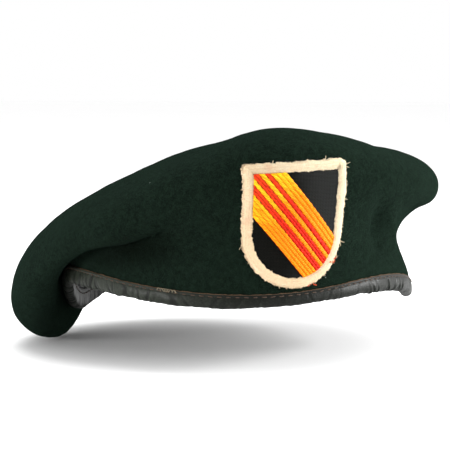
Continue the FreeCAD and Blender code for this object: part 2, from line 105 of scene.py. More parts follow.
class Finish:
    """One material: a Principled shader and the nodes that feed it."""

    def __init__(self, name, constants):
        self.material = bpy.data.materials.new(name)
        self.material.use_nodes = True
        self.tree = self.material.node_tree
        self.shader = self.tree.nodes["Principled BSDF"]
        self.set(constants)

    def feed(self, socket, value):
        """Join a level to a socket, or give the socket a colour or a number."""
        if isinstance(value, Level):
            self.tree.links.new(value.socket, socket)
        elif socket.type == "RGBA":
            socket.default_value = (*value, 1.0)
        else:
            socket.default_value = value

    def set(self, values):
        for name, value in values.items():
            self.feed(self.shader.inputs[name], value)

    def node(self, kind, settings, sockets, output=0):
        made = self.tree.nodes.new(kind)
        for name, value in settings.items():
            setattr(made, name, value)
        for place, value in sockets.items():
            self.feed(made.inputs[place], value)
        return Level(self, made.outputs[output])

    def mark(self, name, output="Fac"):
        """What the mesh says about each of its points."""
        return self.node("ShaderNodeAttribute", {"attribute_name": name}, {}, output)

    def place(self):
        """The point in millimetres, for a piece that keeps no coordinates of its own."""
        point = self.node("ShaderNodeTexCoord", {}, {}, "Object")
        return self.node("ShaderNodeVectorMath", {"operation": "SCALE"},
                         {0: point, "Scale": 1.0 / MM})

    def parts(self, point):
        """The three numbers of a point."""
        split = self.tree.nodes.new("ShaderNodeSeparateXYZ")
        self.feed(split.inputs[0], point)
        return [Level(self, socket) for socket in split.outputs]

    def point(self, x, y, z):
        """A point from three numbers."""
        return self.node("ShaderNodeCombineXYZ", {}, {0: x, 1: y, 2: z})

    def noise(self, point, scale, detail=2.0, roughness=0.5, distortion=0.0):
        return self.node("ShaderNodeTexNoise", {}, {
            "Vector": point, "Scale": scale, "Detail": detail,
            "Roughness": roughness, "Distortion": distortion})

    def cells(self, point, scale, output="Distance"):
        """How far a point lies from the middle of its cell in an uneven net of cells."""
        return self.node("ShaderNodeTexVoronoi", {}, {"Vector": point, "Scale": scale}, output)

    def rise(self, value, low, high):
        """0 below low, 1 above high, and smooth between them."""
        return self.node("ShaderNodeMapRange", {"interpolation_type": "SMOOTHSTEP"},
                         {0: value, 1: low, 2: high, 3: 0.0, 4: 1.0})

    def mix(self, share, first, second):
        """A colour between two, all of the second where share is 1."""
        return self.node("ShaderNodeMix", {"data_type": "RGBA"},
                         {0: share, 6: first, 7: second}, 2)

    def relief(self, height, depth):
        """Bumps as high as depth millimetres where height is 1."""
        self.set({"Normal": self.node("ShaderNodeBump", {},
                                      {"Height": height, "Distance": depth * MM})})


def dye(red, green, blue):
    """A colour from 0 to 255 screen values, made linear for the shaders."""
    return tuple(((c / 255 + 0.055) / 1.055)**2.4 if c > 10 else c / 255 / 12.92
                 for c in (red, green, blue))


def make_mesh(name, points, faces, finish, marks=None):
    """A smooth mesh from points in millimetres, with numbers marked on its points."""
    mesh = bpy.data.meshes.new(name)
    mesh.from_pydata((np.asarray(points, float) * MM).tolist(), [],
                     [[int(i) for i in face] for face in faces])
    mesh.polygons.foreach_set("use_smooth", [True] * len(mesh.polygons))
    for mark, values in (marks or {}).items():
        values = np.asarray(values, np.float32)
        flat = values.ndim == 1
        made = mesh.attributes.new(mark, "FLOAT" if flat else "FLOAT_VECTOR", "POINT")
        made.data.foreach_set("value" if flat else "vector", values.ravel())
    piece = bpy.data.objects.new(name, mesh)
    bpy.context.scene.collection.objects.link(piece)
    mesh.materials.append(finish.material)
    return piece


def lamp(name, place, width, power):
    """A square soft lamp that faces the beret."""
    light = bpy.data.lights.new(name, "AREA")
    light.size = width
    light.energy = power
    made = bpy.data.objects.new(name, light)
    made.location = place
    aim = CAMERA_TARGET - Vector(place)
    made.rotation_mode = "QUATERNION"
    made.rotation_quaternion = aim.to_track_quat("-Z", "Y")
    bpy.context.scene.collection.objects.link(made)


table_finish = Finish("table_top", {"Roughness": 0.9})
grain = table_finish.noise(table_finish.place(), 0.02, 4.0)
table_finish.set({"Base Color": table_finish.mix(grain, dye(251, 251, 251), dye(254, 254, 254))})
TABLE_HALF = 4000.0
table_height = cad_low.z / MM - 0.3
table = make_mesh(
    "table",
    [(-TABLE_HALF, -TABLE_HALF, table_height), (TABLE_HALF, -TABLE_HALF, table_height),
     (TABLE_HALF, TABLE_HALF, table_height), (-TABLE_HALF, TABLE_HALF, table_height)],
    [(0, 1, 2, 3)], table_finish)

sky = bpy.data.worlds.new("tent")
sky.use_nodes = True
sky.node_tree.nodes["Background"].inputs["Color"].default_value = (1.0, 1.0, 1.0, 1.0)
sky.node_tree.nodes["Background"].inputs["Strength"].default_value = 1.0
bpy.context.scene.world = sky
bpy.context.scene.view_settings.view_transform = "Standard"

lamp("lamp_above", (-0.1, 0.1, 1.1), 0.9, 10.5)
lamp("lamp_wearers_left", (1.1, 0.15, 0.28), 0.5, 29.0)
lamp("lamp_wearers_right", (-0.95, -0.75, 0.02), 0.5, 17.0)

toward_camera = Vector((
    math.sin(CAMERA_TURN) * math.cos(CAMERA_RISE),
    -math.cos(CAMERA_TURN) * math.cos(CAMERA_RISE),
    math.sin(CAMERA_RISE)))
lens = bpy.data.cameras.new("camera")
lens.lens = 174.0
lens.sensor_width = 36.0
lens.clip_start = 0.01
lens.clip_end = 30.0
camera = bpy.data.objects.new("camera", lens)
camera.location = CAMERA_TARGET + toward_camera * CAMERA_DISTANCE
camera.rotation_mode = "QUATERNION"
camera.rotation_quaternion = (-toward_camera).to_track_quat("-Z", "Y")
bpy.context.scene.collection.objects.link(camera)
bpy.context.scene.camera = camera

# ---------------------------------------------------------------- felt crown
# One blocked sheet of black-green wool felt, 2.4 mm thick, pulled down over the wearer's
# right ear and standing up behind the flash. Its sections are those of the cut pattern:
# poles of a smooth skin, every 10 degrees round the head from the front.
COLUMNS = 36
OPENING_SIDE = 82.5
OPENING_FRONT = 101.5
FELT_THICKNESS = 2.4
FELT_OUTSIDE = 4.05
FELT_LIFTS = (5.2, 7.8, 12.5)
APEX_HEIGHT = 73.4
APEX_RADIUS = 4.0
TOP_RADIUS = 30.0
TOP_SHARE = 0.25
FELT_ROUND = 480
FELT_UP = 221

# Height of the binding's lower edge, and of its outer leg above that, by angle.
BAND_EDGE = {0: 0, 20: 0.9, 45: 3.9, 65: 1.8, 80: -2.5, 94: -7.0, 110: -6, 150: -7.5,
             180: -8, 215: -7, 240: -11, 258: -17, 272: -10, 290: 2.2, 315: 5.2,
             340: 2.2}
OUTER_LEG = {0: 7.2, 18: 6.7, 60: 8.6, 180: 8.6, 285: 9.4, 330: 8.2}

# Radius and height of the poles at wall, crease, under, lip inside, lip outside, rim,
# shoulder and top.
SECTIONS = {
    0: ((105.6, 22), (106.3, 32), (107, 42), (107.6, 52),
        (107.8, 60.5), (104.5, 69), (91, 76), (66, 77)),
    20: ((102.4, 22), (103, 32), (104, 43), (105.3, 53),
         (106.4, 63), (104.5, 75), (91, 83), (66, 83)),
    40: ((96, 21), (96.3, 31), (98.6, 40), (102, 49),
         (104.5, 58), (102.5, 69.5), (91, 78.2), (66, 81)),
    65: ((86.5, 19), (83.8, 28), (86.5, 37), (94, 44),
         (101.5, 50), (103, 59.5), (91, 67.8), (64, 74.6)),
    90: ((82, 16), (77.5, 25), (80, 34), (88.5, 40.5),
         (98.5, 41.5), (103, 54), (92, 65.8), (64, 71.8)),
    120: ((89.5, 14), (88.5, 20), (92.5, 27), (99.5, 33),
          (106, 38), (109, 47), (96, 58), (64, 68)),
    150: ((100.5, 9), (103, 13), (107.5, 18), (113, 22),
          (118, 27), (118.5, 36.5), (102, 51), (68, 63)),
    180: ((106.5, 8), (109.5, 11.5), (114, 14), (119, 16.5),
          (124.5, 20), (124, 31), (105, 47), (68, 60)),
    205: ((103, 8), (105.5, 11), (109.5, 10), (114, 7.5),
          (121, 8), (126, 20), (107, 41), (68, 57)),
    225: ((95.3, 7), (98, 12), (101.5, 12), (106.5, 4),
          (114, -1.5), (126.5, 9), (108, 36), (68, 54)),
    240: ((91, 5), (93, 13), (95.5, 15), (98, -17),
          (104, -29.5), (124, -11), (109, 30), (68, 52)),
    255: ((88, 5), (90, 15), (91.5, 19), (90.5, -22),
          (96, -36), (121, -21), (109, 25), (68, 50.5)),
    270: ((87, 6), (89, 17), (90.5, 22), (90.5, -19),
          (96, -33), (121, -20), (109, 23), (68, 49.5)),
    285: ((88, 15.5), (89, 21), (90.5, 26), (92, -8),
         (98, -18), (119.5, -11), (108.5, 27), (68, 50)),
    300: ((90.5, 18), (91, 25), (92, 31.5), (94.5, 13),
         (99, 4), (116, 5), (107, 34.5), (68, 54.5)),
    320: ((96.1, 19.5), (95, 27.5), (95.5, 35), (99.5, 22.5),
         (103, 20), (110.5, 27.5), (102, 47), (68, 60.5)),
    340: ((102.3, 19), (101.5, 27), (101, 34), (103, 28.5),
          (105.5, 31), (108, 40), (103, 58.5), (68, 69.4)),
}


def around(keys, angle):
    """A value given at a few angles, carried smoothly all the way round."""
    marks = sorted(keys)
    count = len(marks)
    low = max(i for i in range(count) if marks[i] <= angle + 1e-9)

    def mark(i):
        return marks[i % count] + 360.0 * (i // count)

    def value(i):
        return keys[marks[i % count]]

    def slope(i):
        before = mark(i) - mark(i - 1)
        after = mark(i + 1) - mark(i)
        rise = (value(i) - value(i - 1)) / before * after
        rise += (value(i + 1) - value(i)) / after * before
        return rise / (before + after)

    span = mark(low + 1) - mark(low)
    s = (angle - mark(low)) / span
    return ((2 * s**3 - 3 * s**2 + 1) * value(low)
            + (s**3 - 2 * s**2 + s) * span * slope(low)
            + (3 * s**2 - 2 * s**3) * value(low + 1)
            + (s**3 - s**2) * span * slope(low + 1))


def opening_radius(angle, offset):
    """Distance from the axis to the head opening's oval, let out by an offset."""
    turn = math.radians(angle)
    across = math.sin(turn) / (OPENING_SIDE + offset)
    along = math.cos(turn) / (OPENING_FRONT + offset)
    return 1.0 / math.hypot(across, along)


def at(angle, radius, height):
    """A point by its angle from the front, counted towards the wearer's left."""
    turn = math.radians(angle)
    return (radius * math.sin(turn), -radius * math.cos(turn), height)


def pole_angles():
    """The angles of the columns of poles."""
    return [360.0 * column / COLUMNS for column in range(COLUMNS)]


def weights_round(count, start=0.0):
    """Shares of the pole columns at places evenly round the head, from a start angle."""
    weights = np.zeros((count, COLUMNS))
    for k in range(count):
        u = (COLUMNS * k / count + start * COLUMNS / 360.0) % COLUMNS
        low = int(u)
        t = u - low
        shares = ((1 - t)**3, 3 * t**3 - 6 * t**2 + 4, -3 * t**3 + 3 * t**2 + 3 * t + 1, t**3)
        for m in range(4):
            weights[k, (low + m - 1) % COLUMNS] += shares[m] / 6.0
    return weights


def weights_up(rows, count):
    """Shares of the pole rows at places evenly up a sheet."""
    knots = [0] * 4 + list(range(1, rows - 3)) + [rows - 3] * 4
    weights = np.zeros((count, rows))
    for k in range(count):
        v = min((rows - 3) * k / (count - 1), rows - 3 - 1e-9)
        shares = [1.0 if knots[i] <= v < knots[i + 1] else 0.0 for i in range(len(knots) - 1)]
        for degree in (1, 2, 3):
            raised = []
            for i in range(len(knots) - 1 - degree):
                share = 0.0
                if knots[i + degree] > knots[i]:
                    share += (v - knots[i]) / (knots[i + degree] - knots[i]) * shares[i]
                if knots[i + degree + 1] > knots[i + 1]:
                    share += ((knots[i + degree + 1] - v)
                              / (knots[i + degree + 1] - knots[i + 1]) * shares[i + 1])
                raised.append(share)
            shares = raised
        weights[k] = shares[:rows]
    return weights


def skin(net, count_round, count_up, start=0.0):
    """Points on the smooth skin of a net of poles."""
    return np.einsum("ui,ijk,vj->uvk", weights_round(count_round, start), net,
                     weights_up(net.shape[1], count_up))


def outward(grid):
    """Unit vectors square to a grid that is closed round the head."""
    round_the_head = np.roll(grid, -1, 0) - np.roll(grid, 1, 0)
    up_the_sheet = np.gradient(grid, axis=1)
    normals = np.cross(round_the_head, up_the_sheet)
    return normals / np.maximum(np.linalg.norm(normals, axis=2, keepdims=True), 1e-9)


def uneven(points, seed, longest, shortest, count=40):
    """Smooth chance heights of about one unit, made of waves of these lengths."""
    dice = np.random.default_rng(seed)
    heights = np.zeros(points.shape[:-1])
    for _ in range(count):
        direction = dice.normal(size=3)
        length = longest * (shortest / longest)**dice.random()
        direction *= 2 * math.pi / length / np.linalg.norm(direction)
        heights += np.sin(points @ direction + dice.uniform(0, 2 * math.pi))
    return heights / math.sqrt(count / 2)


def near_line(grid, stations, width):
    """1 on a line through (angle, row share) stations of a grid, fading over a width."""
    count_round, count_up = grid.shape[:2]
    stations = np.array(stations, float)
    steps = np.linspace(0, len(stations) - 1, 24)
    angles = np.interp(steps, range(len(stations)), stations[:, 0])
    shares = np.interp(steps, range(len(stations)), stations[:, 1])
    columns = np.round(angles / 360 * count_round).astype(int) % count_round
    rows = np.round(shares * (count_up - 1)).astype(int)
    distance = np.full(grid.shape[:2], 1e9)
    strength = np.zeros(grid.shape[:2])
    for step, column, row in zip(steps, columns, rows):
        away = np.linalg.norm(grid - grid[column, row], axis=2)
        closer = away < distance
        distance = np.minimum(distance, away)
        taper = math.sin(math.pi * (0.08 + 0.84 * step / (len(stations) - 1)))
        strength[closer] = taper
    return np.exp(-(distance / width)**2) * strength


def quads(count_round, count_up, first=0, flip=False):
    """Faces of a grid that is closed round the head."""
    u, v = np.meshgrid(range(count_round), range(count_up - 1), indexing="ij")
    following = (u + 1) % count_round
    corners = np.stack([u * count_up + v, following * count_up + v,
                        following * count_up + v + 1, u * count_up + v + 1], -1)
    faces = corners.reshape(-1, 4) + first
    return (faces[:, ::-1] if flip else faces).tolist()


def shell(outer, inner, closed_top):
    """Points and faces of a sheet with two skins, joined at its edges or at its middle."""
    count_round, count_up = outer.shape[:2]
    count = count_round * count_up
    points = np.concatenate([outer.reshape(-1, 3), inner.reshape(-1, 3),
                             outer[:, -1].mean(0)[None], inner[:, -1].mean(0)[None]])
    faces = quads(count_round, count_up) + quads(count_round, count_up, count, True)
    for u in range(count_round):
        here, there = u * count_up, (u + 1) % count_round * count_up
        top_here, top_there = here + count_up - 1, there + count_up - 1
        faces.append((there, here, here + count, there + count))
        if closed_top:
            faces.append((top_here, top_there, 2 * count))
            faces.append((top_there + count, top_here + count, 2 * count + 1))
        else:
            faces.append((top_here, top_there, top_there + count, top_here + count))
    return (points if closed_top else points[:-2]), faces


def crown_net():
    """Poles of the felt's outer skin, from the binding up to the middle of the top."""
    net = []
    for angle in pole_angles():
        edge = around(BAND_EDGE, angle)
        wall = opening_radius(angle, FELT_OUTSIDE)
        rows = [(wall, edge + lift) for lift in FELT_LIFTS]
        for i in range(len(SECTIONS[0])):
            radius = around({k: SECTIONS[k][i][0] for k in SECTIONS}, angle)
            height = around({k: SECTIONS[k][i][1] for k in SECTIONS}, angle)
            rows.append((radius, height))
        rows.append((TOP_RADIUS, APEX_HEIGHT + TOP_SHARE * (rows[-1][1] - APEX_HEIGHT)))
        rows.append((APEX_RADIUS, APEX_HEIGHT))
        net.append([at(angle, radius, height) for radius, height in rows])
    return np.array(net)


def felt_finish():
    """Milled wool: matt and dark, with a short nap, mottling, stray fibres and lint, and painted
    shade under the drape's fold.
    """
    felt = Finish("wool_felt", {
        "Roughness": 0.95, "Specular IOR Level": 0.0, "Sheen Weight": 0.035,
        "Sheen Roughness": 0.4, "Sheen Tint": dye(170, 215, 195)})
    rest = felt.mark("rest", "Vector")
    patches = felt.noise(rest, 0.035, 3.0, 0.55)
    mottle = felt.noise(rest, 0.45, 4.0, 0.65)
    nap = felt.noise(rest, 2.2, 3.0, 0.7, 0.6)
    curls = 1.0 - felt.rise(abs(felt.noise(rest, 0.8, 2.0, 0.5, 1.6) - 0.5), 0.0, 0.022)
    hairs = 1.0 - felt.rise(abs(felt.noise(rest, 1.3, 2.0, 0.5, 2.2) - 0.5), 0.0, 0.02)
    colour = felt.mix(felt.rise(patches, 0.3, 0.7), dye(10, 17, 12), dye(14, 23, 17))
    colour = felt.mix(felt.rise(mottle, 0.35, 0.7) * 0.8, colour, dye(24, 37, 28))
    colour = felt.mix(felt.rise(nap, 0.35, 0.65) * 0.5, colour, dye(4, 8, 5))
    colour = felt.mix(curls * 0.45, colour, dye(44, 62, 53))
    colour = felt.mix(hairs * 0.22, colour, dye(56, 76, 66))
    speck = 1.0 - felt.rise(felt.cells(rest, 0.075), 0.014, 0.024)
    chosen = felt.rise(felt.noise(rest, 0.09, 0.0), 0.58, 0.6)
    colour = felt.mix(speck * chosen * 0.8, colour, dye(150, 160, 152))
    # Painted shade: near black under the lip of the drape's fold.
    colour = felt.mix(felt.mark("painted_fold_shade") * 0.95, colour, dye(4, 6, 3))
    felt.set({"Base Color": colour, "Roughness": 0.88 + nap * 0.12})
    felt.relief(mottle * 0.7 + nap * 0.7 + curls * 0.35 + hairs * 0.3, 0.6)
    return felt


crown_poles = crown_net()
# The fold of the drape runs on into the front as a soft tuck that fades out.
LIP_LIFTS = (1.2, 3.0, 3.4, 1.6)
FIRST_LIP_COLUMN = 31
TUCKS = ((33, 1.6), (34, 2.2), (35, 0.6))
TUCK_RADIUS = 105.0
crown_poles[FIRST_LIP_COLUMN:FIRST_LIP_COLUMN + 4, 5:8, 2] += np.array(LIP_LIFTS)[:, None]
for column, tuck in TUCKS:
    crown_poles[column, 5:7, :2] *= 1.0 - tuck / TUCK_RADIUS
    crown_poles[column, 7, 2] -= 0.8 * tuck
    crown_poles[column, 7:9, :2] *= 1.0 + 0.35 * tuck / TUCK_RADIUS
felt_skin = skin(crown_poles, FELT_ROUND, FELT_UP)
felt_out = outward(felt_skin)
# The felt keeps soft dents where it has been handled, an infolded crease running up from
# the ear and one long shallow hollow in front of it, but lies smooth under the flash.
FLASH_CENTRE = np.array((33.5, -96.0, 39.0))
FLASH_TURN = 27.0
from_flash = np.linalg.norm(felt_skin - FLASH_CENTRE, axis=2)
free = np.clip((from_flash - 33.0) / 22.0, 0.0, 1.0)
free *= np.clip((np.arange(FELT_UP) / (FELT_UP - 1) - 0.12) / 0.12, 0.0, 1.0)[None, :]
dents = 0.22 * uneven(felt_skin, 11, 60.0, 24.0) + 0.07 * uneven(felt_skin, 12, 20.0, 6.0)
dents -= 4.6 * near_line(felt_skin, ((46, 0.52), (50, 0.4), (54, 0.29), (58, 0.2)), 6.0)
dents += 4.0 * near_line(felt_skin, ((57, 0.45), (62, 0.37), (66, 0.29), (68, 0.2)), 5.0)
felt_skin = felt_skin + felt_out * (dents * free * 0.9)[..., None]
felt_out = outward(felt_skin)
felt_points, felt_faces = shell(felt_skin, felt_skin - felt_out * FELT_THICKNESS, True)
# Painted shade: the felt under the lip of the drape's fold is darkened, to stand for the fold's
# shadow.
painted_fold_shade = near_line(felt_skin, ((312, 0.13), (320, 0.2), (328, 0.26), (336, 0.29), (344, 0.3),
                               (350, 0.32)), 8.5)
painted_fold_shade = np.concatenate([painted_fold_shade.ravel(), np.zeros(painted_fold_shade.size + 2)])
felt_crown = make_mesh("felt_crown", felt_points, felt_faces, felt_finish(),
                       {"rest": felt_points, "painted_fold_shade": painted_fold_shade})
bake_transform(felt_crown)
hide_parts("crown_body", "crown_drape")

# ---------------------------------------------------------------- leather edge binding
# A strip of dark leather, 1.1 mm thick, folded over the felt's edge and sewn through.
# Round the curve of the opening it gathers into fine cross creases, which have worn to
# a shine, and its raw brown edge shows along the top.
BINDING_DEPTH = 5.3
LEATHER_ROUND = 1500
LEATHER_START = 180.0
STITCH_DROP = 1.3
# Section of the strip: offset, share of the outer leg's height, height above that, and
# how far the creases reach it. It runs from the raw edge down, under and up inside.
LEATHER_SECTION = (
    (4.25, 1.0, 0.0, 0.0), (4.65, 1.0, -0.02, 0.0), (5.1, 1.0, -0.4, 0.05),
    (5.3, 1.0, -0.85, 0.15), (5.05, 1.0, -1.35, 0.25), (5.45, 0.8, -0.3, 0.7),
    (5.75, 0.55, 0.0, 1.0), (5.75, 0.35, 0.0, 1.0), (5.35, 0.0, 1.6, 1.0),
    (4.5, 0.0, 0.6, 1.0), (2.65, 0.0, 0.0, 1.0), (0.9, 0.0, 0.6, 1.0),
    (0.1, 0.0, 1.7, 0.8), (-0.1, 0.0, 4.5, 0.5), (0.05, 0.0, 7.5, 0.3),
    (0.0, 0.0, 10.4, 0.1), (0.3, 0.0, 10.9, 0.0), (0.85, 0.0, 11.0, 0.0),
    (1.1, 0.0, 10.7, 0.0), (1.1, 0.0, 6.5, 0.0), (1.1, 0.0, 2.9, 0.0),
    (1.6, 0.0, 1.6, 0.0), (2.65, 0.0, 1.1, 0.0), (3.7, 0.0, 1.6, 0.0),
    (4.2, 0.0, 2.9, 0.0), (4.2, 0.6, 0.0, 0.0))


def rounded(outline):
    """A closed outline with its corners cut twice, so that it runs smoothly."""
    outline = np.array(outline, float)
    for _ in range(2):
        following = np.roll(outline, -1, 0)
        outline = np.stack([0.75 * outline + 0.25 * following,
                            0.25 * outline + 0.75 * following], 1).reshape(-1, outline.shape[1])
    return outline


def leather_creases(section, perimeter):
    """How far each point of the strip is pushed out by its cross creases."""
    dice = np.random.default_rng(23)
    places = np.arange(LEATHER_ROUND) * perimeter / LEATHER_ROUND
    run = np.arange(len(section)) / len(section)
    pushed = np.zeros((LEATHER_ROUND, len(section)))
    angles = (LEATHER_START + np.arange(LEATHER_ROUND) * 360.0 / LEATHER_ROUND) % 360.0
    tight = np.exp(-((angles - 56.0) / 17.0)**2) + np.exp(-((angles - 318.0) / 14.0)**2)
    strength = 0.5 + 1.1 * tight
    place = 0.0
    while place < perimeter - 1.5:
        width = dice.uniform(0.55, 1.5)
        depth = dice.uniform(0.08, 0.42)
        slant = dice.uniform(-4.0, 4.0)
        middle = dice.uniform(0.28, 0.5)
        reach = dice.uniform(0.06, 0.3)
        bend = dice.uniform(-14.0, 14.0)
        line = place + slant * (run - middle) * 6 + bend * (run - middle)**2
        away = places[:, None] - line[None, :]
        away = (away + perimeter / 2) % perimeter - perimeter / 2
        groove = np.exp(-(away / width)**2) - 0.55 * np.exp(-((away - 1.5 * width) / width)**2)
        groove *= np.exp(-((run - middle) / reach)**2)[None, :]
        pushed -= groove * depth
        place += dice.uniform(0.9, 4.2)
    return pushed * strength[:, None] * section[:, 3][None, :]


def band_rings(section, columns, start):
    """Loops along the binding, one for each (offset, share of leg, lift) of a section."""
    rings = []
    for offset, share, lift in section:
        loop = []
        for angle in pole_angles():
            height = around(BAND_EDGE, angle) + share * around(OUTER_LEG, angle) + lift
            loop.append(at(angle, opening_radius(angle, offset), height))
        rings.append(weights_round(columns, start) @ np.array(loop))
    return np.stack(rings, 1)


def closed_quads(count_round, count_section):
    """Faces of a ring whose section is closed too."""
    u, v = np.meshgrid(range(count_round), range(count_section), indexing="ij")
    next_u, next_v = (u + 1) % count_round, (v + 1) % count_section
    return np.stack([u * count_section + v, u * count_section + next_v,
                     next_u * count_section + next_v, next_u * count_section + v],
                    -1).reshape(-1, 4).tolist()


def leather_finish():
    """Dyed leather with a fine grain, worn grey on its ridges, and a raw brown edge; painted light
    makes the band paler on one side and darker on the other.
    """
    leather = Finish("binding_leather", {"Specular IOR Level": 0.09, "Coat Roughness": 0.22})
    lay = leather.mark("lay", "Vector")
    ridge_wear_and_painted_light = leather.mark("ridge_wear_and_painted_light")
    raw = leather.mark("raw")
    pebbles = leather.cells(lay, 1.7)
    fine = leather.noise(lay, 1.1, 4.0, 0.6)
    along, across, _ = leather.parts(lay)
    streaks = leather.noise(leather.point(along * 1.1, across * 0.16, 0.0), 1.0, 3.0, 0.6, 0.5)
    wear_and_painted_light = leather.rise(ridge_wear_and_painted_light + fine * 0.5, 0.3, 0.85)
    colour = leather.mix(leather.rise(fine, 0.3, 0.7), dye(9, 11, 8), dye(18, 21, 16))
    # The grey on the crease ridges is real wear; its side-to-side part is painted light.
    colour = leather.mix(wear_and_painted_light * 0.6, colour, dye(46, 50, 43))
    colour = leather.mix(leather.rise(streaks, 0.55, 0.72) * 0.4, colour, dye(9, 10, 8))
    hide = leather.noise(lay, 2.2, 4.0, 0.7)
    brown = leather.mix(leather.rise(hide, 0.3, 0.7), dye(44, 34, 26), dye(98, 78, 60))
    colour = leather.mix(leather.rise(raw + hide * 0.5, 0.6, 0.85), colour, brown)
    leather.set({
        "Base Color": colour,
        "Roughness": 0.4 + fine * 0.16 - wear_and_painted_light * 0.08 + raw * 0.4,
        "Coat Weight": 0.04 - raw * 0.04})
    leather.relief((1.0 - pebbles) * 0.35 + streaks * 0.6 + fine * 0.35, 0.22)
    return leather


section = rounded(LEATHER_SECTION)
band = band_rings(section[:, :3], LEATHER_ROUND, LEATHER_START)
band_middle = band_rings(((2.65, 0.0, 4.0),), LEATHER_ROUND, LEATHER_START)[:, 0]
steps = np.linalg.norm(np.roll(band_middle, -1, 0) - band_middle, axis=1)
band_length = float(steps.sum())
band_along = np.concatenate([[0.0], np.cumsum(steps)[:-1]])
ahead = np.roll(band, -1, 0) - np.roll(band, 1, 0)
round_section = np.roll(band, -1, 1) - np.roll(band, 1, 1)
band_out = np.cross(round_section, ahead)
band_out /= np.maximum(np.linalg.norm(band_out, axis=2, keepdims=True), 1e-9)
pushed = leather_creases(section, band_length)
soft = 0.16 * uneven(band, 31, 26.0, 9.0) * section[:, 3][None, :]
band = band + band_out * (pushed + soft)[..., None]
raw_edge = (section[:, 1] > 0.95) & (section[:, 2] > -0.3)
waver = uneven(band, 32, 7.0, 1.5)
band[..., 2] += np.where(raw_edge, 1.0, 0.0)[None, :] * 0.1 * waver
contour = np.concatenate([[0.0], np.cumsum(np.hypot(np.diff(section[:, 0]),
                                                    np.diff(section[:, 1] * 8 + section[:, 2])))])
lay = np.stack([np.broadcast_to(band_along[:, None], band.shape[:2]),
                np.broadcast_to(contour[None, :], band.shape[:2]),
                np.zeros(band.shape[:2])], -1)
raw_mark = np.broadcast_to(raw_edge[None, :], band.shape[:2]).astype(float)
# Painted light: the band is made paler round 322 degrees, in front of the drape's fold, and darker
# round 48 degrees, on the wearer's left.
band_angles = (LEATHER_START + np.arange(LEATHER_ROUND) * 360.0 / LEATHER_ROUND) % 360.0
painted_side_light = (0.25 + 0.3 * np.exp(-((band_angles - 322.0) / 24.0)**2)
          - 0.5 * np.exp(-((band_angles - 48.0) / 34.0)**2))
leather_binding = make_mesh(
    "leather_binding", band.reshape(-1, 3), closed_quads(LEATHER_ROUND, len(section)),
    leather_finish(),
    {"lay": lay.reshape(-1, 3), "ridge_wear_and_painted_light": (painted_side_light[:, None] + pushed * 2.4).ravel(),
     "raw": raw_mark.ravel()})
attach(leather_binding, "cap")
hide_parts("binding")

# ---------------------------------------------------------------- seam thread
# Waxed brown thread that closes the binding, in running stitches through both legs. One
# stitch in front has pulled loose, and its pale core lies on the leather in a small knot.
STITCH_COUNT = 148
STITCH_LENGTH = 2.5
THREAD_RADIUS = 0.28


def tubes(paths, outs, radii, sides=6):
    """Points, faces and marks of round threads along paths, one closed tube for each."""
    points, faces, marks = [], [], []
    turns = np.arange(sides) * 2 * math.pi / sides
    for path, out, radius in zip(paths, outs, radii):
        path = np.asarray(path, float)
        out = np.broadcast_to(np.asarray(out, float), path.shape)
        radius = np.broadcast_to(np.asarray(radius, float), len(path))
        forward = np.gradient(path, axis=0)
        forward /= np.linalg.norm(forward, axis=1, keepdims=True)
        side = np.cross(forward, out)
        side /= np.linalg.norm(side, axis=1, keepdims=True)
        lift = np.cross(side, forward)
        first = len(points)
        run = np.concatenate([[0.0], np.cumsum(np.linalg.norm(np.diff(path, axis=0), axis=1))])
        for i in range(len(path)):
            for turn in turns:
                ring = side[i] * math.cos(turn) + lift[i] * math.sin(turn)
                points.append(path[i] + ring * radius[i])
                marks.append((run[i], turn, 0.0))
        for i in range(len(path) - 1):
            for k in range(sides):
                a, b = first + i * sides + k, first + i * sides + (k + 1) % sides
                faces.append((a, a + sides, b + sides, b))
        faces.append(tuple(range(first, first + sides)))
        last = first + (len(path) - 1) * sides
        faces.append(tuple(range(last + sides - 1, last - 1, -1)))
    return points, faces, {"lay": marks}


def thread_finish(name, light, dark, turns_per_mm=1.6, gloss=0.55):
    """Twisted thread: two plies that wind round each other."""
    thread = Finish(name, {"Specular IOR Level": 0.25})
    along, turn, _ = thread.parts(thread.mark("lay", "Vector"))
    plies = (along * (turns_per_mm * 2 * math.pi) + turn * 2.0).wave()
    fuzz = thread.noise(thread.place(), 3.0, 3.0, 0.7)
    thread.set({"Base Color": thread.mix(plies * 0.7 + fuzz * 0.3, dark, light),
                "Roughness": gloss + fuzz * 0.3})
    thread.relief(plies + fuzz * 0.4, 0.12)
    return thread


def seam_paths(offset, sink, outwards):
    """One short path for each stitch, whose ends dip into the leather."""
    loop = []
    for angle in pole_angles():
        height = around(BAND_EDGE, angle) + around(OUTER_LEG, angle) - STITCH_DROP
        loop.append(at(angle, opening_radius(angle, offset), height))
    line = weights_round(STITCH_COUNT * 8) @ np.array(loop)
    steps = np.linalg.norm(np.roll(line, -1, 0) - line, axis=1)
    run = np.concatenate([[0.0], np.cumsum(steps)])
    line = np.concatenate([line, line[:1]])
    pitch = run[-1] / STITCH_COUNT
    dice = np.random.default_rng(5)
    paths, outs = [], []
    for i in range(STITCH_COUNT):
        length = STITCH_LENGTH * dice.uniform(0.88, 1.08)
        tilt = dice.uniform(-0.16, 0.16)
        places = pitch * i + np.linspace(-length / 2, length / 2, 7)
        path = np.stack([np.interp(places % run[-1], run, line[:, k]) for k in range(3)], 1)
        forward = path[-1] - path[0]
        out = np.array((forward[1], -forward[0], 0.0)) * outwards
        out /= np.linalg.norm(out)
        share = np.linspace(-1, 1, 7)
        path += out * (sink * (1 - share**4) - 0.5 * share**4)[:, None]
        path[:, 2] += tilt * share
        paths.append(path)
        outs.append(out)
    return paths, outs


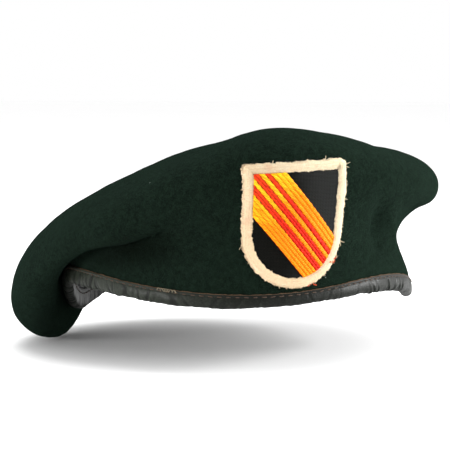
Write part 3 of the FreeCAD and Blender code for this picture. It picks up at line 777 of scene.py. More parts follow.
outer_paths, outer_outs = seam_paths(BINDING_DEPTH - 0.3, 0.22, 1.0)
inner_paths, inner_outs = seam_paths(0.0, 0.2, -1.0)
seam_points, seam_faces, seam_marks = tubes(
    outer_paths + inner_paths, outer_outs + inner_outs, [THREAD_RADIUS] * (2 * STITCH_COUNT))
seam_thread = make_mesh("seam_thread", seam_points, seam_faces,
                        thread_finish("seam_thread", dye(74, 56, 42), dye(30, 22, 17)),
                        seam_marks)
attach(seam_thread, "cap")
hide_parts("binding_stitching")


def wander(start, heading, up, length, curl, seed, count=9):
    """A short loose thread from a start, which curls as it goes."""
    dice = np.random.default_rng(seed)
    place = np.array(start, float)
    heading = np.array(heading, float)
    heading /= np.linalg.norm(heading)
    path = [place.copy()]
    for _ in range(count - 1):
        heading = heading + dice.normal(size=3) * curl * 0.35 + np.array(up) * curl * 0.06
        heading /= np.linalg.norm(heading)
        place = place + heading * length / (count - 1)
        path.append(place.copy())
    return path


knot_paths, knot_outs = [], []
for i, angle in enumerate((344.4, 345.2, 345.8, 346.4, 347.0, 347.6, 348.6)):
    leg_top = around(BAND_EDGE, angle) + around(OUTER_LEG, angle) - 0.4
    place = np.array(at(angle, opening_radius(angle, BINDING_DEPTH + 0.2), leg_top))
    out = np.array(at(angle, 1.0, 0.0))
    side = np.cross((0.0, 0.0, 1.0), out)
    turns = np.linspace(-1.3, 1.6 + 0.3 * i, 13)
    loop = (place + side[None, :] * (0.9 * np.sin(turns + i))[:, None]
            + np.array((0.0, 0.0, 0.65)) * np.cos(turns * 1.7 + 2 * i)[:, None]
            + out * (0.25 + 0.3 * np.cos(turns * 1.2 + i))[:, None])
    knot_paths.append(loop)
    knot_outs.append(out)
points, faces, marks = tubes(knot_paths, knot_outs, [0.14] * len(knot_paths))
pulled_stitch = make_mesh("pulled_stitch", points, faces, thread_finish(
    "pale_thread", dye(150, 138, 114), dye(92, 84, 68)), marks)
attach(pulled_stitch, "cap")

# ---------------------------------------------------------------- drawstring
# A flat woven cotton tape in the binding's tunnel, for the fit. Its ends come out inside
# at the back, where they are tied in a small knot and trimmed short.
TAPE_HALF_THICKNESS = 0.5
TAPE_HALF_HEIGHT = 1.6
TAPE_OFFSET = 2.7
TAPE_LIFT = 3.2
KNOT_Y = OPENING_FRONT - 6.6


def ribbon(path, ups, half_height, half_thickness):
    """Points, faces and marks of a flat tape along a path."""
    path = np.asarray(path, float)
    ups = np.broadcast_to(np.asarray(ups, float), path.shape)
    forward = np.gradient(path, axis=0)
    side = np.cross(forward, ups)
    side /= np.linalg.norm(side, axis=1, keepdims=True)
    section = [(-1, -0.86), (-0.5, -1), (0.5, -1), (1, -0.86),
               (1, 0.86), (0.5, 1), (-0.5, 1), (-1, 0.86)]
    run = np.concatenate([[0.0], np.cumsum(np.linalg.norm(np.diff(path, axis=0), axis=1))])
    points, marks, faces = [], [], []
    count = len(section)
    for i in range(len(path)):
        for across, up in section:
            points.append(path[i] + side[i] * across * half_thickness
                          + ups[i] * up * half_height)
            marks.append((run[i], up * half_height, across))
    for i in range(len(path) - 1):
        for k in range(count):
            a, b = i * count + k, i * count + (k + 1) % count
            faces.append((a, b, b + count, a + count))
    faces.append(tuple(range(count - 1, -1, -1)))
    faces.append(tuple(range((len(path) - 1) * count, len(path) * count)))
    return points, faces, marks


def tape_finish():
    """Black cotton tape with a fine herringbone weave, a little faded."""
    tape = Finish("tape_cotton", {"Specular IOR Level": 0.1})
    along, across, _ = tape.parts(tape.mark("lay", "Vector"))
    weave = (along * 9.0 + abs(across) * 9.0).wave()
    fade = tape.noise(tape.mark("lay", "Vector"), 0.6, 3.0)
    tape.set({"Base Color": tape.mix(weave * 0.6 + fade * 0.4, dye(14, 14, 13), dye(52, 52, 48)),
              "Roughness": 0.85 + weave * 0.1})
    tape.relief(weave, 0.15)
    return tape


tape_path = []
for angle in np.linspace(181.8, 538.2, 361):
    angle = angle % 360.0
    tape_path.append(at(angle, opening_radius(angle, TAPE_OFFSET),
                        around(BAND_EDGE, angle) + TAPE_LIFT))
back_edge = around(BAND_EDGE, 180) + TAPE_LIFT
for side, place in ((-1, 0), (1, len(tape_path))):
    ends = [(side * 3.3, OPENING_FRONT + inset, back_edge) for inset in (1.9, 0.6, -1.5, -3.9)]
    tape_path[place:place] = ends[::-1] if place == 0 else ends
points, faces, marks = ribbon(tape_path, (0.0, 0.0, 1.0), TAPE_HALF_HEIGHT - 0.2,
                              TAPE_HALF_THICKNESS)
tape_cotton = tape_finish()
drawstring_tape = make_mesh("drawstring_tape", points, faces, tape_cotton, {"lay": marks})
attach(drawstring_tape, "cap")
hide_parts("drawstring")

turns = np.linspace(0.35, 2 * math.pi - 0.35, 60)
knot_path = np.stack([
    2.5 * (np.sin(turns) + 0.9 * np.sin(2 * turns)) / 1.4,
    KNOT_Y + 1.1 * np.sin(3 * turns),
    back_edge + 1.0 + 1.15 * (np.cos(turns) - 1.2 * np.cos(2 * turns)) / 1.3], 1)
points, faces, marks = [], [], []
parts_of_knot = [(knot_path, (0.0, 0.0, 1.0), 0.85)]
for side in (-1, 1):
    tail = [(side * (1.6 + 3.6 * t), KNOT_Y + 0.4 * math.sin(4 * t),
             back_edge + 0.4 - 5.6 * t) for t in np.linspace(0, 1, 8)]
    parts_of_knot.append((tail, (0.8, 0.0, 0.6), 1.4))
for path, up, half_height in parts_of_knot:
    more_points, more_faces, more_marks = ribbon(path, up, half_height, 0.55)
    faces += [[i + len(points) for i in face] for face in more_faces]
    points += more_points
    marks += more_marks
drawstring_bow = make_mesh("drawstring_tied", points, faces, tape_cotton, {"lay": marks})
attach(drawstring_bow, "cap")
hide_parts("drawstring_knot")

# ---------------------------------------------------------------- lining and label
# A black cloth lining in two parts: a side band caught in the binding's seam, and a
# round tip gathered to it. A blank woven size label is stitched under the tip.
LINING = 0.4
LINING_FROM_OPENING = 1.55
DOME_HEIGHT = 67.0
DOME_DENT = 4.5
LINING_LIFTS = (7.6, 9.6, 11.5)
SIDE_HEIGHTS = (24.0, 34.0, 44.0, 48.0, 52.0)
TIP_HEIGHTS = (52.5, 55.5, 59.5, 63.0, 65.6)
TIP_TOP = 66.4
GATHERS = 84


def dome_radius(angle, height):
    """The lining's reach at a height, a little less over the wearer's left ear."""
    share = math.sqrt(1.0 - (height / DOME_HEIGHT)**2)
    facing = max(0.0, math.cos(math.radians(angle - 90.0)))
    return opening_radius(angle, 0.0) * share - DOME_DENT * facing**4


def lining_skin(first_rows, heights, last_rows, count_up):
    """Outer skin of one part of the lining, from its lower edge up."""
    net = []
    for angle in pole_angles():
        rows = [(opening_radius(angle, LINING_FROM_OPENING), around(BAND_EDGE, angle) + lift)
                for lift in first_rows]
        rows += [(dome_radius(angle, height), height) for height in heights]
        rows += last_rows
        net.append([at(angle, radius, height) for radius, height in rows])
    return skin(np.array(net), 504, count_up)


def gathered(grid, shares):
    """The lining drawn into small gathers, strongest where shares is 1."""
    angles = np.arange(grid.shape[0]) / grid.shape[0] * 2 * math.pi
    ripple = np.sin(GATHERS * angles)[:, None] + 0.5 * np.sin(GATHERS * 1.5 * angles)[:, None]
    return grid - outward(grid) * (shares[None, :] * (0.28 + 0.26 * ripple))[..., None]


def lining_finish():
    """Thin black lining cloth: a fine plain weave with a soft gloss and faint pressing."""
    cloth = Finish("lining_cloth", {"Specular IOR Level": 0.22, "Sheen Weight": 0.03,
                                    "Sheen Roughness": 0.4})
    along, up, _ = cloth.parts(cloth.mark("lay", "Vector"))
    weave = (along * 14.0).wave() * (up * 14.0).wave()
    pressing = cloth.noise(cloth.mark("rest", "Vector"), 0.06, 3.0, 0.6, 0.8)
    colour = cloth.mix(cloth.rise(pressing, 0.35, 0.65), dye(13, 13, 14), dye(26, 26, 27))
    colour = cloth.mix(weave * 0.5, colour, dye(40, 40, 41))
    cloth.set({"Base Color": colour, "Roughness": 0.5 + pressing * 0.2})
    cloth.relief(weave * 0.5 + pressing, 0.3)
    return cloth


def lining_marks(grid):
    """Where each point lies on the cloth, for its weave: once for each of its two skins."""
    angles = np.arange(grid.shape[0]) / grid.shape[0] * 2 * math.pi * 90.0
    up = np.arange(grid.shape[1]) * 0.9
    lay = np.stack([np.broadcast_to(angles[:, None], grid.shape[:2]),
                    np.broadcast_to(up[None, :], grid.shape[:2]), np.zeros(grid.shape[:2])], -1)
    return np.concatenate([lay.reshape(-1, 3), lay.reshape(-1, 3)])


lining_cloth = lining_finish()
side_skin = lining_skin(LINING_LIFTS, SIDE_HEIGHTS, [], 56)
side_skin = gathered(side_skin, np.linspace(-0.3, 1.0, 56).clip(0.0, 1.0)**2)
points, faces = shell(side_skin, side_skin - outward(side_skin) * LINING, False)
lining_band = make_mesh("lining_side_band", points, faces, lining_cloth,
                        {"lay": lining_marks(side_skin), "rest": points})
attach(lining_band, "cap")
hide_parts("lining_side")
tip_skin = lining_skin((), TIP_HEIGHTS, [(APEX_RADIUS, TIP_TOP)], 60)
tip_skin = gathered(tip_skin, np.linspace(1.0, -0.2, 60).clip(0.0, 1.0)**2)
points, faces = shell(tip_skin, tip_skin - outward(tip_skin) * LINING, True)
tip_lay = lining_marks(tip_skin)
lining_top = make_mesh("lining_tip_round", points, faces, lining_cloth, {
    "lay": np.concatenate([tip_lay, tip_lay[:2]]), "rest": points})
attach(lining_top, "cap")
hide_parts("lining_tip")

LABEL_Y = 26.0
LABEL_HALF_WIDTH = 19.0
LABEL_HALF_HEIGHT = 12.0
LABEL_THICKNESS = 0.3
LABEL_GAP = 0.12
LABEL_HEM = 1.8
LABEL_STITCH_PITCH = 3.0
tip_under = (tip_skin - outward(tip_skin) * LINING).reshape(-1, 3)
tip_tree = BVHTree.FromPolygons([Vector(point) for point in tip_under],
                                quads(*tip_skin.shape[:2]))


def under_tip(x, y, drop):
    """A point below the lining tip."""
    hit = tip_tree.ray_cast(Vector((x, y, 0.0)), Vector((0.0, 0.0, 1.0)))[0]
    return (x, y, hit.z - drop)


label_points, label_marks = [], []
label_u = np.linspace(-1, 1, 49)
label_v = np.linspace(-1, 1, 31)
for layer, hem_lift in ((LABEL_GAP, 0.0), (LABEL_GAP + LABEL_THICKNESS, 0.14)):
    for x in label_u * LABEL_HALF_WIDTH:
        for y in label_v * LABEL_HALF_HEIGHT:
            from_hem = max(abs(x) - LABEL_HALF_WIDTH, abs(y) - LABEL_HALF_HEIGHT) + LABEL_HEM
            drop = layer + (hem_lift if from_hem > 0 else 0.0)
            label_points.append(under_tip(x, LABEL_Y + y, drop))
            label_marks.append((x, y, layer))
columns, rows = len(label_u), len(label_v)
label_faces = []
for i in range(columns - 1):
    for j in range(rows - 1):
        a = i * rows + j
        label_faces.append((a, a + rows, a + rows + 1, a + 1))
        a += columns * rows
        label_faces.append((a, a + 1, a + rows + 1, a + rows))
edge = ([i * rows for i in range(columns)] + [(columns - 1) * rows + j for j in range(1, rows)]
        + [i * rows + rows - 1 for i in range(columns - 2, -1, -1)]
        + [j for j in range(rows - 2, 0, -1)])
for a, b in zip(edge, edge[1:] + edge[:1]):
    label_faces.append((b, a, a + columns * rows, b + columns * rows))
woven = Finish("label_satin", {"Specular IOR Level": 0.3, "Sheen Weight": 0.05})
across, along, _ = woven.parts(woven.mark("lay", "Vector"))
ribs = (along * 16.0).wave()
soil = woven.noise(woven.mark("lay", "Vector"), 0.12, 4.0, 0.6)
soil = woven.rise(soil, 0.35, 0.75)
woven.set({"Base Color": woven.mix(soil, dye(206, 202, 188), dye(172, 165, 146)),
           "Roughness": 0.42 + ribs * 0.2})
woven.relief(ribs + (across * 9.0).wave() * 0.4, 0.12)
blank_label = make_mesh("blank_size_label", label_points, label_faces, woven, {"lay": label_marks})
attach(blank_label, "cap")
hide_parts("size_label")
label_paths = []
for half_run, half_across, turned in ((LABEL_HALF_WIDTH, LABEL_HALF_HEIGHT, False),
                                      (LABEL_HALF_HEIGHT, LABEL_HALF_WIDTH, True)):
    count = int(2 * (half_run - 1.5) / LABEL_STITCH_PITCH)
    for side in (-1, 1):
        for i in range(count):
            path = []
            for t in np.linspace(-1, 1, 5):
                run = (i - (count - 1) / 2.0) * LABEL_STITCH_PITCH + t
                across = side * (half_across - 1.2)
                x, y = (across, run) if turned else (run, across)
                path.append(under_tip(x, LABEL_Y + y, 0.62 - 0.25 * t**4))
            label_paths.append(path)
points, faces, marks = tubes(label_paths, [(0.0, 0.0, -1.0)] * len(label_paths),
                             [0.2] * len(label_paths))
label_thread = make_mesh("label_thread", points, faces, thread_finish(
    "label_thread", dye(60, 60, 56), dye(24, 24, 22)), marks)
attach(label_thread, "cap")
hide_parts("label_stitching")

# ---------------------------------------------------------------- stiffener
# A thin fibre board between felt and lining, which holds the front up behind the flash.
board = Finish("stiffener_board", {"Specular IOR Level": 0.2})
fibres = board.noise(board.place(), 0.9, 4.0, 0.7, 1.5)
board.set({"Base Color": board.mix(fibres, dye(96, 84, 66), dye(142, 128, 104)),
           "Roughness": 0.8 + fibres * 0.15})
board.relief(fibres, 0.1)
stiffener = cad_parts["stiffener"]
stiffener.data.materials.clear()
stiffener.data.materials.append(board.material)

# ---------------------------------------------------------------- flash: ground
# An embroidered cloth badge in the shape of a shield. Its ground is black thread in
# close rows, a little lighter towards its right, with a sheen painted on the rows there.
FLASH_HALF_WIDTH = 25.2
FLASH_TOP = 29.0
FLASH_TOP_RISE = 1.1
FLASH_ROUND_CENTRE = -4.4
RIGHT_CORNER = 3.0
LEFT_CORNER = 1.0
BORDER_WIDTH = 5.2
BORDER_THICKNESS = 1.5
GROUND_THICKNESS = 0.8
LAY_CLEARANCE = 0.1
flash_turn = math.radians(FLASH_TURN)
flash_right = np.array((math.cos(flash_turn), math.sin(flash_turn), 0.0))
flash_up = np.array((0.0, 0.0, 1.0))
flash_out = np.cross(flash_right, flash_up)
REACH = 60.0


def bend_terms(u, v):
    """Terms of the even curve to which the stiff badge bends."""
    u, v = np.asarray(u, float) / 30.0, np.asarray(v, float) / 30.0
    return np.stack([u**i * v**j for i in range(7) for j in range(7 - i)], -1)


near_columns = np.arange(-30, 130) % FELT_ROUND
near_skin = felt_skin[near_columns]
near_tree = BVHTree.FromPolygons([Vector(point) for point in near_skin.reshape(-1, 3)],
                                 quads(len(near_columns), FELT_UP)[:-(FELT_UP - 1)])
samples = []
for u in np.linspace(-30, 30, 21):
    for v in np.linspace(-33, 33, 21):
        start = FLASH_CENTRE + flash_right * u + flash_up * v + flash_out * REACH
        distance = near_tree.ray_cast(Vector(start), Vector(-flash_out))[3]
        if distance is not None:
            samples.append((u, v, REACH - distance))
samples = np.array(samples)
bend = np.linalg.lstsq(bend_terms(samples[:, 0], samples[:, 1]), samples[:, 2], rcond=None)[0]


def on_felt(u, v, lift):
    """Points at (u, v) on the badge's plane, laid on the felt and lifted off it."""
    u, v = np.asarray(u, float), np.asarray(v, float)
    height = bend_terms(u, v) @ bend + lift
    return (FLASH_CENTRE + u[..., None] * flash_right + v[..., None] * flash_up
            + height[..., None] * flash_out)


OUTLINE_COUNTS = (560, 210, 34, 330, 16, 230)


def shield(inset):
    """Closed outline: round foot, right side, corner, top, corner and left side."""
    half = FLASH_HALF_WIDTH - inset
    rise = FLASH_TOP_RISE * half / FLASH_HALF_WIDTH
    left_top, right_top = FLASH_TOP - inset - rise, FLASH_TOP - inset + rise
    right_corner = max(RIGHT_CORNER - inset, 0.4)
    left_corner = max(LEFT_CORNER - inset, 0.3)

    def arc(u, v, radius, start, end, count):
        turns = np.radians(np.linspace(start, end, count, endpoint=False))
        return np.stack([u + radius * np.cos(turns), v + radius * np.sin(turns)], 1)

    def line(start, end, count):
        shares = np.linspace(0, 1, count, endpoint=False)[:, None]
        return np.array(start) * (1 - shares) + np.array(end) * shares

    foot, right, corner, over, other, left = OUTLINE_COUNTS
    return np.concatenate([
        arc(0, FLASH_ROUND_CENTRE, half, 180, 360, foot),
        line((half, FLASH_ROUND_CENTRE), (half, right_top - right_corner), right),
        arc(half - right_corner, right_top - right_corner, right_corner, 0, 90, corner),
        line((half - right_corner, right_top), (left_corner - half, left_top), over),
        arc(left_corner - half, left_top - left_corner, left_corner, 90, 180, other),
        line((-half, left_top - left_corner), (-half, FLASH_ROUND_CENTRE), left)])


def ground_finish():
    """Black embroidery cotton in level rows, with a faint blue-grey sheen painted on its threads.
    """
    black = Finish("flash_black", {"Specular IOR Level": 0.03})
    lay = black.mark("lay", "Vector")
    u, v, _ = black.parts(lay)
    rows = (v * (2 * math.pi / 0.62) + black.noise(lay, 0.5, 2.0) * 5.0).wave()
    bites = (u * (2 * math.pi / 1.5) + (v * (math.pi / 0.62)).wave() * 3.0).wave()
    # Painted sheen: the ground grows lighter towards the badge's right, and its rows are given a
    # pale gloss there.
    painted_sheen_towards_right = black.rise(u + black.noise(lay, 0.12, 4.0, 0.7) * 16.0, 0.0, 20.0)
    colour = black.mix(painted_sheen_towards_right, dye(10, 10, 7), dye(27, 27, 25))
    colour = black.mix(rows * 0.4 * painted_sheen_towards_right + rows * 0.08, colour, dye(58, 60, 60))
    colour = black.mix(black.rise(bites, 0.8, 1.0) * 0.6, colour, dye(8, 8, 8))
    black.set({"Base Color": colour, "Roughness": 0.7 + rows * 0.15})
    black.relief(rows + bites * 0.4, 0.22)
    return black


SPOKES = 46
outline = shield(BORDER_WIDTH - 0.9)[::3]
ground_points, ground_marks = [], []
for layer in (LAY_CLEARANCE, LAY_CLEARANCE + GROUND_THICKNESS):
    for share in np.linspace(1, 0.02, SPOKES):
        ring = outline * share
        ground_points.append(on_felt(ring[:, 0], ring[:, 1], layer))
        ground_marks.append(np.column_stack([ring, np.full(len(ring), layer)]))
ground_points = np.array(ground_points)
under, over = ground_points[:SPOKES].transpose(1, 0, 2), ground_points[SPOKES:].transpose(1, 0, 2)
under_marks = np.array(ground_marks[:SPOKES]).transpose(1, 0, 2)
over_marks = np.array(ground_marks[SPOKES:]).transpose(1, 0, 2)
points, faces = shell(over, under, True)
marks = np.concatenate([over_marks.reshape(-1, 3), under_marks.reshape(-1, 3), np.zeros((2, 3))])
flash_ground = make_mesh("flash_black_ground", points, faces, ground_finish(), {"lay": marks})
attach(flash_ground, "cap")
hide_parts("flash_ground")

# ---------------------------------------------------------------- flash: bars
# Seven diagonal bars of satin stitch over cords: red between yellow, dyed deeper orange
# towards the foot. The threads lie at a slight slant to the cords under them.
BAR_THICKNESS = 0.9
BAR_SLOPE = math.radians(-49.0)
BAR_EDGES = (-13.0, -6.1, -3.3, -1.3, 1.4, 3.6, 5.6, 11.6)
BARS = (("yellow_lower", 4), ("red_lower", 2), ("yellow_mid_lower", 1), ("red_middle", 2),
        ("yellow_mid_upper", 1), ("red_upper", 1), ("yellow_upper", 3))
bar_along = np.array((math.cos(BAR_SLOPE), math.sin(BAR_SLOPE)))
bar_across = np.array((-math.sin(BAR_SLOPE), math.cos(BAR_SLOPE)))


def bar_finish(name, light, mid, deep):
    """Glossy embroidery thread in slanting strands, with a few broken ones, with painted
    highlights on the strands and painted shade between strands and between cords.
    """
    satin = Finish(name, {"Specular IOR Level": 0.1})
    lay = satin.mark("lay", "Vector")
    run, across, height = satin.parts(lay)
    slant = across * 0.9 - run * 0.36
    strands = (slant * (2 * math.pi / 0.66) + satin.noise(lay, 0.7, 2.0) * 4.0).wave()
    twist = satin.noise(satin.point(run * 0.16, slant * 1.5, 0.0), 1.0, 2.0, 0.6)
    faded = satin.rise(run + satin.noise(lay, 0.1, 3.0) * 20.0, -20.0, 26.0)
    colour = satin.mix(satin.rise(faded + twist * 1.5, 0.55, 1.35), light, mid)
    colour = satin.mix(satin.rise(twist, 0.52, 0.7) * 0.5, colour, deep)
    # Painted highlight on each strand's crest, then painted shade in the grooves between strands.
    colour = satin.mix(satin.rise(strands, 0.7, 1.0) * 0.4, colour, light)
    colour = satin.mix((1.0 - satin.rise(strands, 0.0, 0.3)) * 0.6, colour, deep)
    # Painted shade: darker in the valleys between the cords.
    painted_cord_valley_shade = 1.0 - satin.rise(height, 0.0, 0.5)
    colour = satin.mix(painted_cord_valley_shade * 0.9, colour, deep)
    satin.set({"Base Color": colour, "Roughness": 0.45 + twist * 0.25})
    satin.relief(strands + twist * 0.6, 0.35)
    return satin


bar_finishes = {
    "yellow": bar_finish("satin_yellow", dye(255, 214, 34), dye(250, 132, 4), dye(206, 70, 0)),
    "red": bar_finish("satin_red", dye(244, 72, 24), dye(222, 34, 16), dye(128, 8, 12))}
field = shield(BORDER_WIDTH - 0.6)


def chord(across):
    """The run of a line across the shield between its two crossings of the outline."""
    offsets = field @ bar_across - across
    runs = field @ bar_along
    following, next_runs = np.roll(offsets, -1), np.roll(runs, -1)
    crossing = offsets * following < 0
    share = offsets[crossing] / (offsets[crossing] - following[crossing])
    found = runs[crossing] * (1 - share) + next_runs[crossing] * share
    return found.min(), found.max()


RUN_STEPS = 220
CORD_STEPS = 8
BAR_GAP = 0.03
BAR_FOOT = LAY_CLEARANCE + GROUND_THICKNESS


def bar_skins(number, cords):
    """The stitched top of a bar, ribbed by the cords under it, its flat foot and marks."""
    low, high = BAR_EDGES[number] + BAR_GAP, BAR_EDGES[number + 1] - BAR_GAP
    top, foot, marks = [], [], []
    for share in np.linspace(0, 1, cords * CORD_STEPS + 1):
        across = low + (high - low) * share
        runs = np.linspace(*chord(across), RUN_STEPS)
        waver = 0.12 * np.sin(runs * 2.1 + number * 2 + 7 * round(share))
        wavy = across + waver * (2 * share - 1)**4 * (1 if share > 0.5 else -1)
        inside = (share * cords) % 1.0 if 0 < share < 1 else 0.0
        crown = math.sqrt(max(0.0, 1 - (2 * inside - 1)**2))
        rope = 0.09 * np.sin(runs * (2 * math.pi / 2.3) + across * 1.8)
        lift = BAR_FOOT + 0.08 + BAR_THICKNESS * (0.25 + 0.75 * crown) + rope * crown
        places = bar_across * wavy[:, None] + bar_along * runs[:, None]
        top.append(on_felt(places[:, 0], places[:, 1], lift))
        places = bar_across * across + bar_along * runs[:, None]
        foot.append(on_felt(places[:, 0], places[:, 1], BAR_FOOT + 0.02))
        marks.append(np.column_stack([runs, np.full(RUN_STEPS, across),
                                      np.full(RUN_STEPS, crown)]))
    return np.array(top), np.array(foot), np.concatenate(marks + marks)


def slab_faces(rows, columns):
    """Faces of a slab: a grid of points on top, the same grid below and four edges."""
    below = rows * columns
    faces = []
    for i in range(rows - 1):
        for j in range(columns - 1):
            a = i * columns + j
            b = a + columns
            faces.append((a, a + 1, b + 1, b))
            faces.append((below + a, below + b, below + b + 1, below + a + 1))
    last = (rows - 1) * columns
    for j in range(columns - 1):
        faces.append((j + 1, j, below + j, below + j + 1))
        faces.append((last + j, last + j + 1, below + last + j + 1, below + last + j))
    for i in range(rows - 1):
        a, b = i * columns, (i + 1) * columns
        faces.append((a, b, below + b, below + a))
        a, b = a + columns - 1, b + columns - 1
        faces.append((b, a, below + a, below + b))
    return faces


for number, (name, cords) in enumerate(BARS):
    top, foot, marks = bar_skins(number, cords)
    colour = name.split("_")[0]
    satin_bar = make_mesh(
        "satin_" + name, np.concatenate([top.reshape(-1, 3), foot.reshape(-1, 3)]),
        slab_faces(*top.shape[:2]), bar_finishes[colour], {"lay": marks})
    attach(satin_bar, "cap")
    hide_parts("bar_" + name)

# ---------------------------------------------------------------- flash: border
# Thick cream thread wrapped over the badge's edge, thread beside thread. It frays into
# whiskers here and there, and its foot is stained red by a pulled thread.
WRAP_PITCH = 0.56


def border_finish():
    """Cream cotton that has yellowed unevenly, with red stains near the foot, painted light that
    shifts its tone from side to side, and painted shade between the wrapped threads.
    """
    cream = Finish("flash_cream", {"Specular IOR Level": 0.04})
    lay = cream.mark("lay", "Vector")
    run, across, _ = cream.parts(lay)
    flat = cream.mark("flat", "Vector")
    u, v, _ = cream.parts(flat)
    wraps = ((run + across * 0.5) * (2 * math.pi / WRAP_PITCH)).wave()
    patches = cream.noise(flat, 0.16, 4.0, 0.65)
    blotches = cream.noise(flat, 0.55, 4.0, 0.7, 0.6)
    fluff = cream.noise(flat, 1.7, 4.0, 0.75)
    # Painted light: on top of chance yellowed patches, the cream turns cooler towards the right
    # and top and warmer towards the left and foot, set for how the lamps fall.
    yellowing_and_painted_side_tone = cream.rise(patches * 14.0 - u * 0.22 - v * 0.12, 2.0, 12.0)
    colour = cream.mix(yellowing_and_painted_side_tone, dye(240, 226, 194), dye(246, 220, 182))
    colour = cream.mix(cream.rise(blotches, 0.5, 0.72) * 0.5, colour, dye(222, 182, 146))
    colour = cream.mix(cream.rise(blotches, 0.42, 0.3) * 0.6, colour, dye(248, 242, 222))
    colour = cream.mix(cream.rise(fluff, 0.46, 0.66) * 0.55, colour, dye(212, 176, 138))
    # Painted shade in the grooves between the wrapped threads.
    colour = cream.mix((1.0 - cream.rise(wraps, 0.0, 0.3)) * 0.22, colour, dye(206, 164, 126))
    for place, size, strength in (((8.0, -28.8), 1.7, 0.85), ((10.4, -27.4), 0.9, 0.8),
                                  ((19.6, -18.6), 1.5, 0.75), ((12.0, -24.6), 0.5, 0.7),
                                  ((-14.0, 26.5), 2.6, 0.14), ((-23.0, 2.0), 3.0, 0.14)):
        away = cream.node("ShaderNodeVectorMath", {"operation": "DISTANCE"},
                          {0: flat, 1: (*place, 0.0)}, "Value")
        spot = 1.0 - cream.rise(away + cream.noise(flat, 0.8, 4.0, 0.8) * 3.4, size, size + 1.2)
        colour = cream.mix(spot * strength, colour, dye(206, 66, 44))
    cream.set({"Base Color": colour, "Roughness": 0.85 + fluff * 0.1})
    cream.relief(wraps * 0.6 + fluff * 0.8 + blotches * 0.9, 0.55)
    return cream


outer, inner = shield(0.0), shield(BORDER_WIDTH)
steps = np.linalg.norm(np.roll(outer, -1, 0) - outer, axis=1)
border_run = np.concatenate([[0.0], np.cumsum(steps)[:-1]])
threads = round(float(steps.sum()) / WRAP_PITCH)
thread_number = border_run / steps.sum() * threads
chance = np.random.default_rng(19).uniform(-1, 1, (threads + 1, 3))
which = np.floor(thread_number).astype(int) % threads
rib = np.abs(np.sin(math.pi * thread_number))
wavering = sum(0.018 * np.sin(thread_number / threads * 2 * math.pi * turns + turns)
               for turns in (11, 17, 29, 43, 67))
border_section = [(share, math.sqrt(1 - abs(2 * share - 1)**2.4))
                  for share in (1 - np.cos(np.linspace(0, math.pi, 17))) / 2]
rings, ring_marks, ring_flat = [], [], []
for share, height in border_section + [(0.93, 0.0), (0.5, 0.0), (0.07, 0.0)]:
    spread = share + (chance[which, 0] * 0.04 + wavering - 0.02 + 0.03 * rib) * (2 * share - 1)
    place = outer * (1 - spread[:, None]) + inner * spread[:, None]
    lift = LAY_CLEARANCE + height * (BORDER_THICKNESS * 0.92 + 0.1 * chance[which, 1]
                                     + 0.2 * (rib - 0.6))
    rings.append(on_felt(place[:, 0], place[:, 1], lift))
    ring_marks.append(np.column_stack([border_run, np.full(len(outer), share * BORDER_WIDTH),
                                       lift]))
    ring_flat.append(np.column_stack([place, np.zeros(len(outer))]))
rings = np.stack(rings, 1)
cream_thread = border_finish()
flash_border = make_mesh("flash_wrapped_border", rings.reshape(-1, 3),
                         closed_quads(*rings.shape[:2]), cream_thread,
                         {"lay": np.stack(ring_marks, 1).reshape(-1, 3),
                          "flat": np.stack(ring_flat, 1).reshape(-1, 3)})
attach(flash_border, "cap")
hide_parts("flash_border")

dice = np.random.default_rng(8)
whiskers = [(-12.0, 28.4, 75, 2.6), (-13.0, 28.4, 110, 1.6), (14.6, 29.6, 58, 3.6),
            (14.0, 29.6, 66, 3.0), (15.4, 29.6, 40, 1.6), (25.0, 27.6, 24, 2.6),
            (25.0, 26.6, 8, 2.2), (2.0, 29.0, 80, 1.4), (-25.2, 20.7, 178, 1.8),
            (-25.2, 16.6, 176, 1.5), (-25.2, -9.6, 236, 3.0), (-25.1, -10.2, 250, 2.6),
            (-22.9, -15.0, 196, 2.6), (-22.6, -15.6, 210, 2.0), (24.8, -8.8, -28, 2.4),
            (24.6, -9.6, -70, 2.0), (22.8, -14.8, -40, 2.4), (22.0, -16.4, -20, 1.8),
            (25.2, 11.0, 10, 1.4), (1.0, -29.6, 280, 1.5), (-8.0, -28.3, 255, 1.5)]
for _ in range(190):
    place = int(dice.integers(len(outer)))
    normal = outer[place] - inner[place]
    turn = math.degrees(math.atan2(normal[1], normal[0])) + dice.uniform(-65, 65)
    whiskers.append((*outer[place], turn, dice.uniform(0.4, 1.1)))
FRAY_STEPS = 7
FRAY_SIDES = 4
fray_paths, fray_flat = [], []
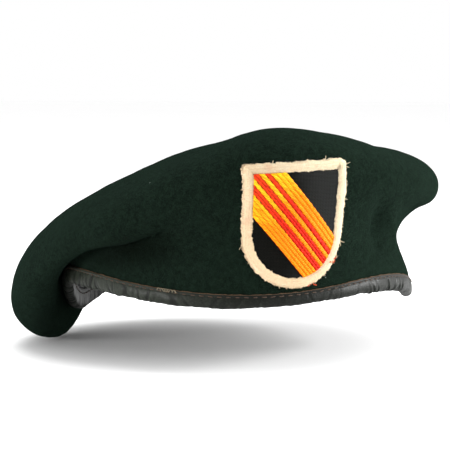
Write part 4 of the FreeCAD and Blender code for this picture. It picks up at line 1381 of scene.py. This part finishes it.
for number, (u, v, turn, length) in enumerate(whiskers):
    start = on_felt(u * 0.985, v * 0.985, LAY_CLEARANCE + 0.5)
    turn = math.radians(turn)
    heading = flash_right * math.cos(turn) + flash_up * math.sin(turn) + flash_out * 0.35
    fray_paths.append(wander(start, heading, flash_out, length, 0.7, 300 + number,
                             FRAY_STEPS))
    fray_flat += [(u, v, 0.0)] * (FRAY_STEPS * FRAY_SIDES)
points, faces, marks = tubes(fray_paths, [flash_out] * len(fray_paths),
                             [np.linspace(0.26, 0.12, FRAY_STEPS)] * len(fray_paths), FRAY_SIDES)
flash_fray = make_mesh("flash_border_fray", points, faces, cream_thread,
                       {**marks, "flat": fray_flat})
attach(flash_fray, "cap")

loose_paths = []
for number, (u, v) in enumerate(((19.9, -18.3), (20.8, -18.8), (19.2, -17.6), (20.4, -17.4),
                                 (8.2, -28.0), (7.4, -28.4), (9.2, -27.8))):
    start = on_felt(u, v, LAY_CLEARANCE + 0.9)
    heading = flash_right * math.cos(number * 2.2) + flash_up * math.sin(number * 2.2)
    heading += flash_out * 0.3
    loose_paths.append(wander(start, heading, -flash_out, 2.6, 1.6, 60 + number, 10))
loose = len(loose_paths)
points, faces, marks = tubes(loose_paths, [flash_out] * loose, [0.2] * loose, 5)
pulled_red = make_mesh("pulled_red_thread", points, faces, thread_finish(
    "pulled_red", dye(226, 92, 40), dye(176, 44, 26)), marks)
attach(pulled_red, "cap")

# ---------------------------------------------------------------- flash: sewing thread
# Dark green thread that catches the wrapped border to the felt in small whip stitches.
SEWN_STITCHES = 52
sewn_paths = []
for i in range(SEWN_STITCHES):
    place = int((i + 0.5) * len(outer) / SEWN_STITCHES)
    normal = outer[place] - inner[place]
    normal = normal / np.linalg.norm(normal)
    path = []
    for t in np.linspace(0, 1, 7):
        u, v = outer[place] + normal * (1.0 - 1.15 * t)
        path.append(on_felt(u, v, 0.1 + 0.45 * math.sin(math.pi * 0.5 * t)**2))
    sewn_paths.append(path)
points, faces, marks = tubes(sewn_paths, [flash_out] * SEWN_STITCHES, [0.13] * SEWN_STITCHES)
sewing = make_mesh("flash_sewing_thread", points, faces, thread_finish(
    "green_thread", dye(24, 34, 28), dye(8, 14, 10)), marks)
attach(sewing, "cap")
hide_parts("flash_stitching")
